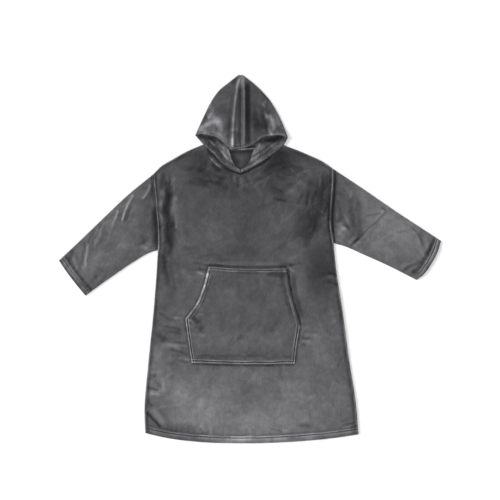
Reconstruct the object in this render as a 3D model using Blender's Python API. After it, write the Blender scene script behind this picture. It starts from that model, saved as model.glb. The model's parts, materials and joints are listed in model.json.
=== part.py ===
"""A wearable blanket hoodie of plush fleece, laid flat on its back with its front up.

Every cut piece is a wall of cloth. The pieces lie on each other: the back panel on the
surface, the front panel on it, and the pocket and the hood's lower layer on the front.
+X is towards the wearer's left, +Y towards the hood, and +Z is up from the surface.
Tables and heights are in millimetres; the meshes are made in metres.
"""

import math
from collections import namedtuple

import bmesh
import bpy
import numpy as np

MM = 0.001
# Points of a mesh closer than this, in millimetres, are one
WELD = 0.01
SHARP_ANGLE = 50

# Cloth and seams
PLY = 3.0
SEAM_GAP = 0.3
LAYER_GAP = 0.3
TUBE_GAP = 1.0
HOOD_GAP = 1.5
HOOD_REST = 2 * PLY + 4 * LAYER_GAP
SLEEVE_STACK = 2 * PLY + TUBE_GAP
HOOD_STACK = 2 * PLY + HOOD_GAP

# Soft fullness of each laid piece, at its middle
BODY_CROWN = 1.6
SLEEVE_CROWN = 2.2
HOOD_CROWN = 2.2
POCKET_CROWN = 2.2

# How far in from an edge that fullness takes to rise
HEM_FADE = 70.0
NECK_FADE = 90.0
CROWN_NECK_Y = 270.0
SLEEVE_FADE = 30.0
POCKET_FADE = 110.0
# Beyond the body's upper edge the hood lies level for a while, then comes down to the surface
HOOD_LEVEL = 20.0
HOOD_RAMP = 50.0

# Turned hems, from the edge to the stitching
BODY_HEM = 18.0
CUFF_HEM = 16.0
HOOD_HEM = 12.0
POCKET_HEM = 7.0

# A row gives one station of an edge on the wearer's right and left side
Pair = namedtuple("Pair", "right_x right_y left_x left_y")
Point = namedtuple("Point", "x y")
# A soft ridge of cloth from one point to another
Fold = namedtuple("Fold", "x y to_x to_y width height")
# The cloth's height over its plain surface, at a distance in from an edge
Rim = namedtuple("Rim", "inset lift")

SIDE_SEAMS = [
    Pair(-360, -600, 374, -604),
    Pair(-363, -535, 367, -514),
    Pair(-351, -369, 342, -348),
    Pair(-334, -203, 320, -183),
    Pair(-321, -38, 295, -17),
    Pair(-317, 31, 288, 55),
]
ARMHOLES = [
    Pair(-317, 31, 288, 55),
    Pair(-317, 94, 279, 125),
    Pair(-323, 173, 281, 178),
    Pair(-329, 244, 287, 252),
    Pair(-333, 292, 287, 310),
]
SHOULDERS = [
    Pair(-333, 292, 287, 310),
    Pair(-307, 318, 256, 332),
    Pair(-265, 344, 214, 353),
    Pair(-224, 367, 173, 371),
    Pair(-155, 397, 93, 400),
]
BACK_NECK = [
    Pair(-155, 397, 93, 400),
    Pair(-96, 382, 35, 384),
    Pair(-32, 377, -32, 377),
]
NECK_SEAM = [
    Pair(-155, 397, 93, 400),
    Pair(-147, 374, 89, 376),
    Pair(-130, 345, 70, 347),
    Pair(-92, 312, 35, 317),
    Pair(-32, 289, -32, 289),
]
# Where the hood's lowest stretch turns back over itself, round the neck
ROLL_LINE = [
    Pair(-74, 380, 15, 381),
    Pair(-67, 361, 7, 361),
    Pair(-58, 336, -3, 335),
    Pair(-49, 321, -15, 318),
    Pair(-32, 308, -32, 308),
]
HEM = [
    Point(-360, -600),
    Point(-307, -613),
    Point(-203, -628),
    Point(-34, -635),
    Point(173, -628),
    Point(318, -613),
    Point(374, -604),
]
SLEEVE_TOP = [
    Pair(-333, 292, 287, 310),
    Pair(-414, 226, 382, 247),
    Pair(-517, 129, 500, 166),
    Pair(-593, 56, 590, 107),
    Pair(-658, -5, 659, 62),
]
SLEEVE_UNDER = [
    Pair(-317, 31, 288, 55),
    Pair(-341, 24, 323, 45),
    Pair(-398, -8, 395, 14),
    Pair(-475, -60, 475, -22),
    Pair(-567, -126, 574, -72),
]
CUFFS = [
    Pair(-658, -5, 659, 62),
    Pair(-640, -32, 645, 20),
    Pair(-612, -70, 622, -22),
    Pair(-585, -104, 598, -54),
    Pair(-567, -126, 574, -72),
]
HOOD_OUTLINE = [
    Pair(-40, 634, -24, 634),
    Pair(-76, 606, 12, 606),
    Pair(-104, 583, 37, 583),
    Pair(-134, 542, 72, 542),
    Pair(-155, 500, 97, 500),
    Pair(-174, 459, 116, 459),
    Pair(-188, 426, 131, 418),
]
# The hood's hemmed edge, from its side corner down to the front of the neck
HOOD_BORDER = [
    Pair(-188, 426, 131, 418),
    Pair(-163, 398, 116, 393),
    Pair(-125, 361, 80, 361),
    Pair(-90, 325, 35, 330),
    Pair(-66, 309, -8, 306),
    Pair(-32, 296, -32, 296),
]
# The same hemmed edge, from the side corner over the top layer to the middle
HOOD_BROW = [
    Pair(-188, 426, 131, 418),
    Pair(-165, 430, 112, 424),
    Pair(-141, 425, 75, 424),
    Pair(-112, 417, 45, 418),
    Pair(-90, 399, 20, 401),
    Pair(-72, 383, 0, 389),
    Pair(-55, 378, -18, 382),
    Pair(-32, 378, -32, 378),
]
HOOD_SEAM_TOP = Point(-32, 634)
HOOD_SEAM_BROW = Point(-32, 378)
HOOD_SEAM_NAPE = Point(-32, 379)
POCKET_SIDES = [
    Pair(-201, -357, 154, -360),
    Pair(-213, -280, 163, -292),
    Pair(-223, -205, 173, -229),
]
POCKET_MOUTHS = [
    Pair(-223, -205, 173, -229),
    Pair(-206, -183, 162, -191),
    Pair(-185, -152, 151, -158),
    Pair(-166, -109, 139, -108),
    Pair(-143, -26, 127, -32),
]
POCKET_FOOT = [Point(-201, -357), Point(-20, -362), Point(154, -360)]
POCKET_TOP = [Point(-143, -26), Point(-10, -33), Point(127, -32)]

FRONT_FOLDS = [
    Fold(-262, 255, -256, -100, 20, 2.6),
    Fold(-300, 225, -293, 60, 9, 1.8),
    Fold(-62, 268, -76, 214, 9, 2.4),
    Fold(-30, 270, -22, 205, 8, 1.8),
    Fold(6, 272, 46, 222, 9, 2.2),
    Fold(249, 217, 221, 152, 11, 3.0),
    Fold(266, 152, 237, 73, 10, 2.6),
    Fold(207, 48, 268, 76, 10, 2.6),
    Fold(252, -68, 296, -52, 8, 2.6),
    Fold(-305, -217, -252, -236, 10, 2.6),
    Fold(-310, -290, -240, -318, 10, 2.6),
    Fold(200, -262, 250, -268, 8, 2.4),
    Fold(-334, -516, -288, -580, 11, 4.0),
    Fold(-352, -470, -300, -456, 10, 2.6),
    Fold(-165, -560, -158, -606, 9, 2.2),
    Fold(70, -585, 130, -592, 9, 2.2),
    Fold(318, -572, 364, -560, 8, 2.6),
]
SLEEVE_FOLDS = [
    Fold(-404, 222, -440, 125, 9, 3.0),
    Fold(-452, 170, -466, 104, 8, 2.2),
    Fold(-511, 110, -535, 48, 9, 2.4),
    Fold(-555, 58, -567, -35, 9, 2.8),
    Fold(-345, 252, -370, 205, 8, 3.0),
    Fold(-610, 20, -596, -60, 9, 2.6),
    Fold(-375, 42, -330, 50, 10, 2.6),
    Fold(462, 150, 384, 58, 10, 2.8),
    Fold(360, 180, 366, 70, 12, 2.4),
    Fold(310, 125, 338, 94, 10, 2.8),
    Fold(578, 84, 600, 30, 9, 2.4),
    Fold(521, -30, 585, -12, 9, 2.6),
]
HOOD_FOLDS = [
    Fold(-121, 496, -92, 446, 18, 2.8),
    Fold(-170, 446, -129, 469, 12, 2.4),
    Fold(62, 512, 74, 455, 12, 2.6),
    Fold(0, 440, 22, 484, 12, 2.2),
]

SEAM_RIM = [Rim(0, -1.2), Rim(4, 0.5), Rim(13, 0)]
HEM_RIM = [Rim(0, -0.9), Rim(4, 0.7), Rim(BODY_HEM - 4, 0.7), Rim(BODY_HEM, -0.8), Rim(BODY_HEM + 7, 0)]
CUFF_RIM = [Rim(0, -0.9), Rim(4, 0.7), Rim(CUFF_HEM - 4, 0.7), Rim(CUFF_HEM, -0.8), Rim(CUFF_HEM + 7, 0)]
HOOD_RIM = [Rim(0, -0.8), Rim(3, 0.6), Rim(HOOD_HEM - 3, 0.6), Rim(HOOD_HEM, -0.7), Rim(HOOD_HEM + 6, 0)]
POCKET_RIM = [Rim(0, -0.8), Rim(3, 0.6), Rim(POCKET_HEM, -0.8), Rim(POCKET_HEM + 5, 0)]


# Lines through the tables

def line(points):
    """A smooth line through the points, as a function of its share from 0 to 1."""
    knots = np.array(points, float)
    lengths = np.linalg.norm(np.diff(knots, axis=0), axis=1)
    shares = np.concatenate([[0.0], np.cumsum(lengths)]) / lengths.sum()
    slopes = np.gradient(knots, shares, axis=0)

    def at(share):
        share = np.clip(np.asarray(share, float), 0, 1)
        index = np.clip(np.searchsorted(shares, share, side="right") - 1, 0, len(knots) - 2)
        span = shares[index + 1] - shares[index]
        s = (share - shares[index]) / span
        s, span = s[..., None], span[..., None]
        return (
            (2 * s**3 - 3 * s**2 + 1) * knots[index]
            + (s**3 - 2 * s**2 + s) * span * slopes[index]
            + (3 * s**2 - 2 * s**3) * knots[index + 1]
            + (s**3 - s**2) * span * slopes[index + 1]
        )

    return at


def joined(*legs):
    """One line from several; each leg is the share at which it ends, and its line."""
    ends = [end for end, _ in legs]
    starts = [0.0, *ends[:-1]]

    def at(share):
        share = np.asarray(share, float)
        placed = np.zeros(share.shape + (2,))
        for start, (end, leg) in zip(starts, legs):
            inside = (share >= start) & (share <= end)
            placed[inside] = leg((share[inside] - start) / (end - start))
        return placed

    return at


def turned(leg):
    """The same line, run from its other end."""
    return lambda share: leg(1 - np.asarray(share, float))


def side_points(table, side):
    """The points of one side of a table of pairs; side is -1 on the right and 1 on the left."""
    if side < 0:
        return [(row.right_x, row.right_y) for row in table]
    return [(row.left_x, row.left_y) for row in table]


def side_line(table, side):
    return line(side_points(table, side))


def patch(foot, head, near, far):
    """The plan surface that four lines bound: foot and head run with u, near and far with v."""
    corners = [near(0.0), far(0.0), near(1.0), far(1.0)]

    def at(u, v):
        u, v = np.broadcast_arrays(np.asarray(u, float), np.asarray(v, float))
        a, b = u[..., None], v[..., None]
        ruled = (1 - b) * foot(u) + b * head(u) + (1 - a) * near(v) + a * far(v)
        plain = (
            (1 - a) * (1 - b) * corners[0]
            + a * (1 - b) * corners[1]
            + (1 - a) * b * corners[2]
            + a * b * corners[3]
        )
        return ruled - plain

    return at


def soft_step(value):
    value = np.clip(value, 0, 1)
    return value * value * (3 - 2 * value)


# Heights

def folds_at(folds, spots):
    """The height of soft ridges at plan points. A ridge fades towards both its ends."""
    height = np.zeros(spots.shape[:-1])
    for fold in folds:
        start = np.array([fold.x, fold.y], float)
        run = np.array([fold.to_x, fold.to_y], float) - start
        length = np.linalg.norm(run)
        along = (spots - start) @ run / length
        across = np.abs((spots - start) @ np.array([-run[1], run[0]])) / length
        ends = soft_step((along + fold.width) / (2 * fold.width))
        ends = ends * soft_step((length + fold.width - along) / (2 * fold.width))
        height = height + fold.height * ends * np.exp(-((across / fold.width) ** 2))
    return height


def rim_lift(rims, inset):
    """The height that an edge's profile gives at a distance in from the edge."""
    return np.interp(inset, [rim.inset for rim in rims], [rim.lift for rim in rims])


def side_x(y, side):
    """Where the body's side lies at a height y, along side seam and armhole."""
    table = SIDE_SEAMS + ARMHOLES[1:]
    points = np.array(side_points(table, side), float)
    return np.interp(y, points[:, 1], points[:, 0])


def body_crown(spots):
    """The soft fullness of the front, which fades to its sides, its hem and its neck."""
    x, y = spots[..., 0], spots[..., 1]
    right, left = side_x(y, -1), side_x(y, 1)
    across = (2 * x - left - right) / (left - right)
    hem_y = min(point.y for point in HEM)
    crown = BODY_CROWN * (1 - np.clip(np.abs(across), 0, 1) ** 4)
    return crown * soft_step((y - hem_y - BODY_HEM) / HEM_FADE) * soft_step((CROWN_NECK_Y - y) / NECK_FADE)


def stack_edge():
    """The upper edge of the body's two layers: shoulder, back neck, roll line, and back again."""
    right, left = [side_points(SHOULDERS, side) + side_points(ROLL_LINE, side) for side in (-1, 1)]
    closing = [(ARMHOLES[0].left_x, 0), (ARMHOLES[0].right_x, 0)]
    return np.array(right + left[-2::-1] + closing, float)


def stack_under_hood(spots):
    """How high the body's layers hold the hood's lower layer over the surface."""
    corners = stack_edge()
    ends = np.roll(corners, -1, axis=0)
    nearest = np.full(spots.shape[:-1], np.inf)
    crossings = np.zeros(spots.shape[:-1], int)
    for start, end in zip(corners, ends):
        run = end - start
        share = np.clip((spots - start) @ run / (run @ run), 0, 1)
        offset = spots - start - share[..., None] * run
        nearest = np.minimum(nearest, np.linalg.norm(offset, axis=-1))
        above = (start[1] > spots[..., 1]) != (end[1] > spots[..., 1])
        rise = run[1] if run[1] else 1.0
        meets = start[0] + run[0] * (spots[..., 1] - start[1]) / rise
        crossings += (above & (spots[..., 0] < meets)).astype(int)
    outside = np.where(crossings % 2 == 1, 0.0, nearest)
    return HOOD_REST * (1 - soft_step((outside - HOOD_LEVEL) / HOOD_RAMP))


# Solids

def with_heights(spots, heights):
    return np.concatenate([spots, np.broadcast_to(heights, spots.shape[:-1])[..., None]], axis=-1)


def add_sheet(mesh, points):
    """Adds a grid of faces that runs through rows and columns of points."""
    rows, columns = points.shape[:2]
    grid = bmesh.ops.create_grid(mesh, x_segments=columns - 1, y_segments=rows - 1, size=1)
    for vert in grid["verts"]:
        row = round((vert.co.y + 1) / 2 * (rows - 1))
        column = round((vert.co.x + 1) / 2 * (columns - 1))
        vert.co = points[row, column] * MM


def finished(name, mesh, material):
    """The named object of a closed mesh, with its faces pointing out."""
    bmesh.ops.recalc_face_normals(mesh, faces=mesh.faces)
    data = bpy.data.meshes.new(name)
    mesh.to_mesh(data)
    mesh.free()
    data.shade_smooth()
    data.set_sharp_from_angle(angle=math.radians(SHARP_ANGLE))
    data.materials.append(material)
    piece = bpy.data.objects.new(name, data)
    bpy.context.scene.collection.objects.link(piece)
    return piece


def wall(name, outer, inner, material):
    """A closed wall between two sheets of points, with a rim all round."""
    mesh = bmesh.new()
    add_sheet(mesh, outer)
    add_sheet(mesh, inner)
    rims = [edge for edge in mesh.edges if edge.is_boundary]
    bmesh.ops.bridge_loops(mesh, edges=rims)
    return finished(name, mesh, material)


def tube(name, outer, inner, material):
    """A closed wall round a tube: its outer rings, then its inner rings on the way back."""
    rings = np.concatenate([outer, inner[::-1], outer[:1]])
    rings = np.concatenate([rings, rings[:, :1]], axis=1)
    mesh = bmesh.new()
    add_sheet(mesh, rings)
    bmesh.ops.remove_doubles(mesh, verts=mesh.verts, dist=WELD * MM)
    return finished(name, mesh, material)


def fabric(name, colour, roughness):
    material = bpy.data.materials.new(name)
    material.use_nodes = True
    shader = material.node_tree.nodes["Principled BSDF"]
    shader.inputs["Base Color"].default_value = (*colour, 1)
    shader.inputs["Roughness"].default_value = roughness
    shader.inputs["Metallic"].default_value = 0
    return material


# The body's two panels

def shares(count, low, high):
    """The shares of one end's profile, even ones between, and those of the other end's profile."""
    inner = np.linspace(low[-1], high[-1], count + 1)
    return np.array([*low[:-1], *inner, *high[:-1][::-1]])


NECK_FROM, NECK_TO = 0.29, 0.69
NECK_CELLS = 10
ARMHOLE_FROM = 0.71
ARMHOLE_CELLS = 9
BODY_WIDTH, BODY_LENGTH = 650.0, 940.0
Cells = namedtuple("Cells", "shoulder side")
BACK_CELLS = Cells(3, 6)
FRONT_CELLS = Cells(6, 17)


def body_columns(shoulder_cells):
    """Shares across the body, with a row for each step of the seam's profile."""
    near = [rim.inset / BODY_WIDTH for rim in SEAM_RIM]
    right = np.linspace(near[-1], NECK_FROM, shoulder_cells + 1)
    neck = np.linspace(NECK_FROM, NECK_TO, NECK_CELLS + 1)[1:-1]
    left = np.linspace(NECK_TO, 1 - near[-1], shoulder_cells + 1)
    return np.array([*near[:-1], *right, *neck, *left, *[1 - s for s in near[:-1]][::-1]])


def body_rows(side_cells):
    """Shares up the body: the hem's profile, the side seam, the armhole and the shoulder."""
    hem = [rim.inset / BODY_LENGTH for rim in HEM_RIM]
    side = np.linspace(hem[-1], ARMHOLE_FROM, side_cells + 1)
    armhole = np.linspace(ARMHOLE_FROM, 1, ARMHOLE_CELLS + 1)[1:]
    top = [1 - rim.inset / BODY_LENGTH for rim in SEAM_RIM[:0:-1]]
    return np.array([*hem[:-1], *side, *armhole[:-1], *top, 1.0])


def body_side(side):
    return joined(
        (ARMHOLE_FROM, side_line(SIDE_SEAMS, side)),
        (1.0, side_line(ARMHOLES, side)),
    )


def body_patch(neck):
    """The plan of a body panel, whose upper edge is shoulder, neck and shoulder."""
    head = joined(
        (NECK_FROM, side_line(SHOULDERS, -1)),
        ((NECK_FROM + NECK_TO) / 2, side_line(neck, -1)),
        (NECK_TO, turned(side_line(neck, 1))),
        (1.0, turned(side_line(SHOULDERS, 1))),
    )
    return patch(line(HEM), head, body_side(-1), body_side(1))


def panel_rim(u, v):
    """The lift of a panel's outer points near its seams and its hem."""
    across = np.minimum(u, 1 - u) * BODY_WIDTH
    seam = np.minimum(across, (1 - v) * BODY_LENGTH)
    hem = v * BODY_LENGTH
    lift = np.where(hem < HEM_RIM[-1].inset, rim_lift(HEM_RIM, hem), 0.0)
    return np.minimum(lift, np.where(seam < SEAM_RIM[1].inset, rim_lift(SEAM_RIM, seam), lift))


def make_back(material):
    u, v = np.meshgrid(body_columns(BACK_CELLS.shoulder), body_rows(BACK_CELLS.side))
    spots = body_patch(BACK_NECK)(u, v)
    under = with_heights(spots, 0.0)
    rim = np.minimum(panel_rim(u, v), 0)
    return wall("back_panel", with_heights(spots, PLY + rim), under, material)


def front_height(spots):
    """The front panel's upper side, which what lies on it follows."""
    base = PLY + LAYER_GAP + PLY
    return base + body_crown(spots) + folds_at(FRONT_FOLDS, spots)


def make_front(material):
    u, v = np.meshgrid(body_columns(FRONT_CELLS.shoulder), body_rows(FRONT_CELLS.side))
    spots = body_patch(NECK_SEAM)(u, v)
    height = front_height(spots)
    outer = with_heights(spots, height + panel_rim(u, v))
    return wall("front_panel", outer, with_heights(spots, height - PLY), material)


# The sleeves, each a flattened tube

SLEEVE_LENGTH = 440.0
SLEEVE_CELLS = 11
SLEEVE_ACROSS = [0.0, 0.1, 0.22, 0.36, 0.5, 0.64, 0.78, 0.9, 1.0]
TURN_ANGLES = [math.radians(a) for a in (45, 90, 135)]


def sleeve_ring(plan, v, ply_in, lift):
    """One ring round a flattened tube, in from its outer face by ply_in."""
    width = np.linalg.norm(plan(1.0, v) - plan(0.0, v))
    bend = SLEEVE_STACK / 2
    centre = bend / width
    flat = [centre + share * (1 - 2 * centre) for share in SLEEVE_ACROSS]
    radius = bend - ply_in
    ring = [(share, bend + radius, 1.0) for share in flat]
    for angle in TURN_ANGLES:
        reach = radius / width * math.sin(angle)
        ring.append((1 - centre + reach, bend + radius * math.cos(angle), 0.0))
    ring += [(share, bend - radius, 0.0) for share in flat[::-1]]
    for angle in TURN_ANGLES[::-1]:
        reach = radius / width * math.sin(angle)
        ring.append((centre - reach, bend + radius * math.cos(angle), 0.0))
    share, height, raised = np.array(ring).T
    spots = plan(share, v)
    fade = soft_step(share * width / SLEEVE_FADE) * soft_step((1 - share) * width / SLEEVE_FADE)
    heights = height + raised * fade * lift(spots, share)
    if ply_in == 0:
        rims = SEAM_RIM if v < 0.5 else CUFF_RIM
        heights = heights + raised * rim_lift(rims, min(v, 1 - v) * SLEEVE_LENGTH)
    return with_heights(spots, heights)


def make_sleeve(name, side, material):
    """A sleeve from its armhole to its hemmed cuff, parted from the body by the seam's gap."""
    outward = np.array([side * SEAM_GAP, 0.0])
    plain = patch(
        turned(side_line(ARMHOLES, side)),
        side_line(CUFFS, side),
        side_line(SLEEVE_TOP, side),
        side_line(SLEEVE_UNDER, side),
    )

    def plan(u, v):
        return plain(u, v) + outward * (1 - np.asarray(v, float))[..., None]

    def lift(spots, share):
        crown = SLEEVE_CROWN * (1 - (2 * share - 1) ** 4)
        return crown + folds_at(SLEEVE_FOLDS, spots)

    low = [rim.inset / SLEEVE_LENGTH for rim in SEAM_RIM]
    high = [1 - rim.inset / SLEEVE_LENGTH for rim in CUFF_RIM]
    stations = shares(SLEEVE_CELLS, low, high)
    outer = [sleeve_ring(plan, v, 0.0, lift) for v in stations]
    inner = [sleeve_ring(plan, v, PLY, lift) for v in stations]
    return tube(name, np.array(outer), np.array(inner), material)


# The hood, each half folded along its outline into a lower and an upper layer

NAPE_SHARE, ROLL_SHARE, ROLL_END = 0.42, 0.58, 0.985
HOOD_SIDE_LENGTH = 265.0
NAPE_GAP = 1.0
# The gap at the neck seam, as a share of the narrowest stretch between seam and roll
NECK_SEAM_SHARE = SEAM_GAP / 19
STAND_ACROSS = [0.25, 0.6, 1.0]
STAND_DIP = -1.0
LOWER_ACROSS = [0.0, 0.1, 0.28, 0.46, 0.64, 0.82, 1.0]
UPPER_ACROSS = [0.0, 0.14, 0.3, 0.46, 0.6, 0.72, 0.81, 0.88, 0.94, 0.98, 1.0]
# Height of the upper layer beside the middle seam, by its share across
SEAM_RIDGE = {0.72: 0.0, 0.81: 1.0, 0.88: 3.4, 0.94: 2.6, 0.98: 0.4, 1.0: -0.9}
# How much of that ridge the cloth's inner face follows
INNER_RIDGE = 0.6
# The shares up and across the hood by which its fullness and its folds have risen
TIP_FADE = 0.2
FOLD_FADE = 0.3
# The most of a layer's width that the bend at the outline may take up
MOST_BEND = 0.4


def hood_rows():
    """Shares from the hood's tip to its hemmed edge, with a row at each turn of its inner edge."""
    tip = [0, 0.06, 0.16, 0.27, 0.35, NAPE_SHARE]
    neck = [0.5, ROLL_SHARE, 0.67, 0.76, 0.85]
    hem = [1 - rim.inset / HOOD_SIDE_LENGTH for rim in HOOD_RIM]
    return np.array([*tip, *neck, *hem[::-1]])


def hood_inner_path(side):
    """The lower layer's inner edge: middle seam, back neck, roll line, front of the neck."""
    seam_x = HOOD_SEAM_TOP.x + side * SEAM_GAP / 2
    nape = (seam_x, HOOD_SEAM_NAPE.y)
    roll = side_points(ROLL_LINE, side)
    roll_start = (roll[0][0], roll[0][1] + NAPE_GAP)
    roll_end = (seam_x, roll[-1][1])
    return joined(
        (NAPE_SHARE, line([(seam_x, HOOD_SEAM_TOP.y), nape])),
        (ROLL_SHARE, line([nape, roll_start])),
        (ROLL_END, line([roll_start, *roll[1:-1], roll_end])),
        (1.0, line([roll_end, (seam_x, HOOD_BORDER[-1].left_y)])),
    )


def hood_patches(side):
    """The plans of a half's lower and upper layer, each from the middle or from the outline."""
    outline = side_line(HOOD_OUTLINE, side)
    inner = hood_inner_path(side)
    seam_x = HOOD_SEAM_TOP.x + side * SEAM_GAP / 2
    seam = line([(seam_x, HOOD_SEAM_TOP.y), (seam_x, HOOD_SEAM_BROW.y)])
    brow = side_points(HOOD_BROW, side)
    brow[-1] = (seam_x, HOOD_SEAM_BROW.y)
    border = side_points(HOOD_BORDER, side)[::-1]
    border[0] = (seam_x, HOOD_BORDER[-1].left_y)
    tip = line([inner(0.0), outline(0.0)])
    lower = patch(tip, line(border), inner, outline)
    upper = patch(turned(tip), line(brow), outline, seam)
    return lower, upper


def hood_row(lower, upper, v):
    """The outer and inner points of one section round a hood half, from its middle and back to it."""
    bend = HOOD_STACK / 2
    widths = [np.linalg.norm(plan(1.0, v) - plan(0.0, v)) for plan in (lower, upper)]
    edge = np.minimum(bend / np.array(widths), MOST_BEND)
    rim = rim_lift(HOOD_RIM, (1 - v) * HOOD_SIDE_LENGTH)

    under_share = np.array(LOWER_ACROSS) * (1 - edge[0])
    under = lower(under_share, v)
    rest = stack_under_hood(under)

    corner = lower(np.array([1 - edge[0]]), v)[0]
    outline = lower(np.array([1.0]), v)[0]
    away = outline - corner
    corner_rest = stack_under_hood(corner[None])[0]

    upper_share = edge[1] + np.array(UPPER_ACROSS) * (1 - edge[1])
    over = upper(upper_share, v)
    ridge = np.interp(UPPER_ACROSS, list(SEAM_RIDGE), list(SEAM_RIDGE.values()))
    fade = soft_step(v / TIP_FADE)
    fullness = HOOD_CROWN * np.sin(np.pi * np.array(UPPER_ACROSS)) ** 0.8
    raised = fade * (fullness + folds_at(HOOD_FOLDS, over) * soft_step(np.array(UPPER_ACROSS) / FOLD_FADE))
    over_rest = stack_under_hood(over) + HOOD_STACK

    rows = []
    for ply_in in (0.0, PLY):
        radius = bend - ply_in
        points = [with_heights(under, rest + ply_in + (rim if ply_in else 0.0))]
        for angle in TURN_ANGLES:
            spot = corner + away * radius / bend * math.sin(angle)
            points.append([[*spot, corner_rest + bend - radius * math.cos(angle)]])
        top = over_rest + raised - ply_in
        if ply_in == 0:
            top = top + rim + fade * ridge
        else:
            top = top + INNER_RIDGE * fade * np.maximum(ridge, 0)
        points.append(with_heights(over, top))
        rows.append(np.concatenate(points))
    return rows


def make_hood_half(name, side, material):
    lower, upper = hood_patches(side)
    sections = [hood_row(lower, upper, v) for v in hood_rows()]
    outer = np.array([section[0] for section in sections])
    inner = np.array([section[1] for section in sections])
    return wall(name, outer, inner, material)


def make_neck_stand(name, side, material):
    """The hood's lowest stretch, from the neck seam in to the roll line, under the upper cloth."""
    seam = side_line(NECK_SEAM, side)
    roll = side_line(ROLL_LINE, side)
    along = np.linspace(0, 1, NECK_CELLS // 2 + 1)
    across = np.array([NECK_SEAM_SHARE, *STAND_ACROSS])
    u, v = np.meshgrid(across, along)
    spots = (1 - u)[..., None] * seam(v) + u[..., None] * roll(v)
    spots[-1, :, 0] = HOOD_SEAM_TOP.x + side * SEAM_GAP / 2
    base = PLY + LAYER_GAP
    dip = np.where(u < STAND_ACROSS[0], STAND_DIP, 0.0)
    return wall(name, with_heights(spots, base + PLY + dip), with_heights(spots, base), material)


# The pocket

POCKET_WIDTH, POCKET_HEIGHT = 340.0, 330.0
POCKET_CELLS = 9
MOUTH_FROM = 0.45


def make_pocket(material):
    """The kangaroo pocket, whose slanting sides are its open mouths, on the front panel."""
    sides = [
        joined((MOUTH_FROM, side_line(POCKET_SIDES, side)), (1.0, side_line(POCKET_MOUTHS, side)))
        for side in (-1, 1)
    ]
    plan = patch(line(POCKET_FOOT), line(POCKET_TOP), *sides)
    near = [rim.inset / POCKET_WIDTH for rim in POCKET_RIM]
    low = [rim.inset / POCKET_HEIGHT for rim in POCKET_RIM]
    across = shares(POCKET_CELLS, near, [1 - share for share in near])
    up = shares(POCKET_CELLS, low, [1 - share for share in low])
    u, v = np.meshgrid(across, up)
    spots = plan(u, v)
    inset = np.minimum(np.minimum(u, 1 - u) * POCKET_WIDTH, np.minimum(v, 1 - v) * POCKET_HEIGHT)
    fullness = POCKET_CROWN * soft_step(inset / POCKET_FADE)
    under = front_height(spots) + LAYER_GAP + fullness
    outer = under + PLY + rim_lift(POCKET_RIM, inset)
    return wall("kangaroo_pocket", with_heights(spots, outer), with_heights(spots, under), material)


def stand_on_origin(pieces):
    """Moves the pieces so that the middle of their box's underside is the origin."""
    corners = np.array([vert.co[:] for piece in pieces for vert in piece.data.vertices])
    low, high = corners.min(axis=0), corners.max(axis=0)
    middle = (low + high) / 2
    middle[2] = low[2]
    for piece in pieces:
        for vert in piece.data.vertices:
            vert.co = [a - b for a, b in zip(vert.co, middle)]


def main():
    for old in list(bpy.data.objects):
        bpy.data.objects.remove(old, do_unlink=True)
    plush = fabric("plush_grey", (0.125, 0.125, 0.13), 0.9)
    pieces = [make_back(plush), make_front(plush)]
    for word, side in (("right", -1), ("left", 1)):
        pieces.append(make_sleeve(f"sleeve_{word}", side, plush))
        pieces.append(make_neck_stand(f"hood_{word}_neck_stand", side, plush))
        pieces.append(make_hood_half(f"hood_{word}", side, plush))
    pieces.append(make_pocket(plush))
    stand_on_origin(pieces)


main()
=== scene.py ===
# %% [markdown]
# # A plush wearable blanket, laid flat
#
# This lesson dresses a imported CAD model of a hooded garment. The model lies on its back with
# its front up, and a camera looks straight down on it. Every visible piece of cloth is made
# again here as a fine wall of plush, in the place that its CAD solid holds, and then it gets
# its seams, folds, brushed nap with painted shade and highlights, and stitches.

import json
import math
from collections import namedtuple

import bmesh
import bpy
import numpy as np
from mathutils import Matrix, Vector, noise

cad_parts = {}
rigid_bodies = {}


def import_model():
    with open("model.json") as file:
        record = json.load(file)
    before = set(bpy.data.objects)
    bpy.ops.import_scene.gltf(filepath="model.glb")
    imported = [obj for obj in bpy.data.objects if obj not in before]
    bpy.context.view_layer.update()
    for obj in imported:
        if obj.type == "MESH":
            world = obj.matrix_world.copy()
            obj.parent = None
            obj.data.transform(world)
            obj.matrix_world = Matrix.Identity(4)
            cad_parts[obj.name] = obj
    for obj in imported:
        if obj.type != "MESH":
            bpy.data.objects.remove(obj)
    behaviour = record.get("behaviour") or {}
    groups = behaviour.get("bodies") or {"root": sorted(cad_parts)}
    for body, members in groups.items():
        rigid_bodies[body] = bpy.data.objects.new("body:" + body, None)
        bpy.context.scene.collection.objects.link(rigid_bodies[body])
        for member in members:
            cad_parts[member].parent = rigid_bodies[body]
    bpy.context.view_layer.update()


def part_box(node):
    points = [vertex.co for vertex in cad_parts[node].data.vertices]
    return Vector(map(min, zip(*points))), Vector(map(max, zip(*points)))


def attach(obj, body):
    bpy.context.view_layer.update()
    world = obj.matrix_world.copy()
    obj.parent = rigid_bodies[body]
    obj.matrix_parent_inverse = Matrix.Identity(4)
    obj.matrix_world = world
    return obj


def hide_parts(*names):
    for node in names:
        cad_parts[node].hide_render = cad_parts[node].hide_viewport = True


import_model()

# %% [markdown]
# ## The pattern's own coordinates
#
# The tables below are in millimetres, in the frame of the paper pattern: the hood's middle
# seam is at x = -32 and the left end of the back neck is at y = 400. Two CAD corners say where
# that frame lies in the row frame, so that each piece goes where its solid is.

# %% Place the pattern on the frame
MM = 0.001
SEAM_GAP = 0.3
LAYER_GAP = 0.3
MIDDLE_X = -32.0
NECK_POINT_Y = 400.0

stand_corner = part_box("hood_right_neck_stand")[1]
back_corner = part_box("back_panel")[1]
PLACE = np.array(
    [
        stand_corner[0] / MM - (MIDDLE_X - SEAM_GAP / 2),
        back_corner[1] / MM - NECK_POINT_Y,
        0.0,
    ]
)
print("Pattern origin in the row frame, mm:", PLACE.round(2))

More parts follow.
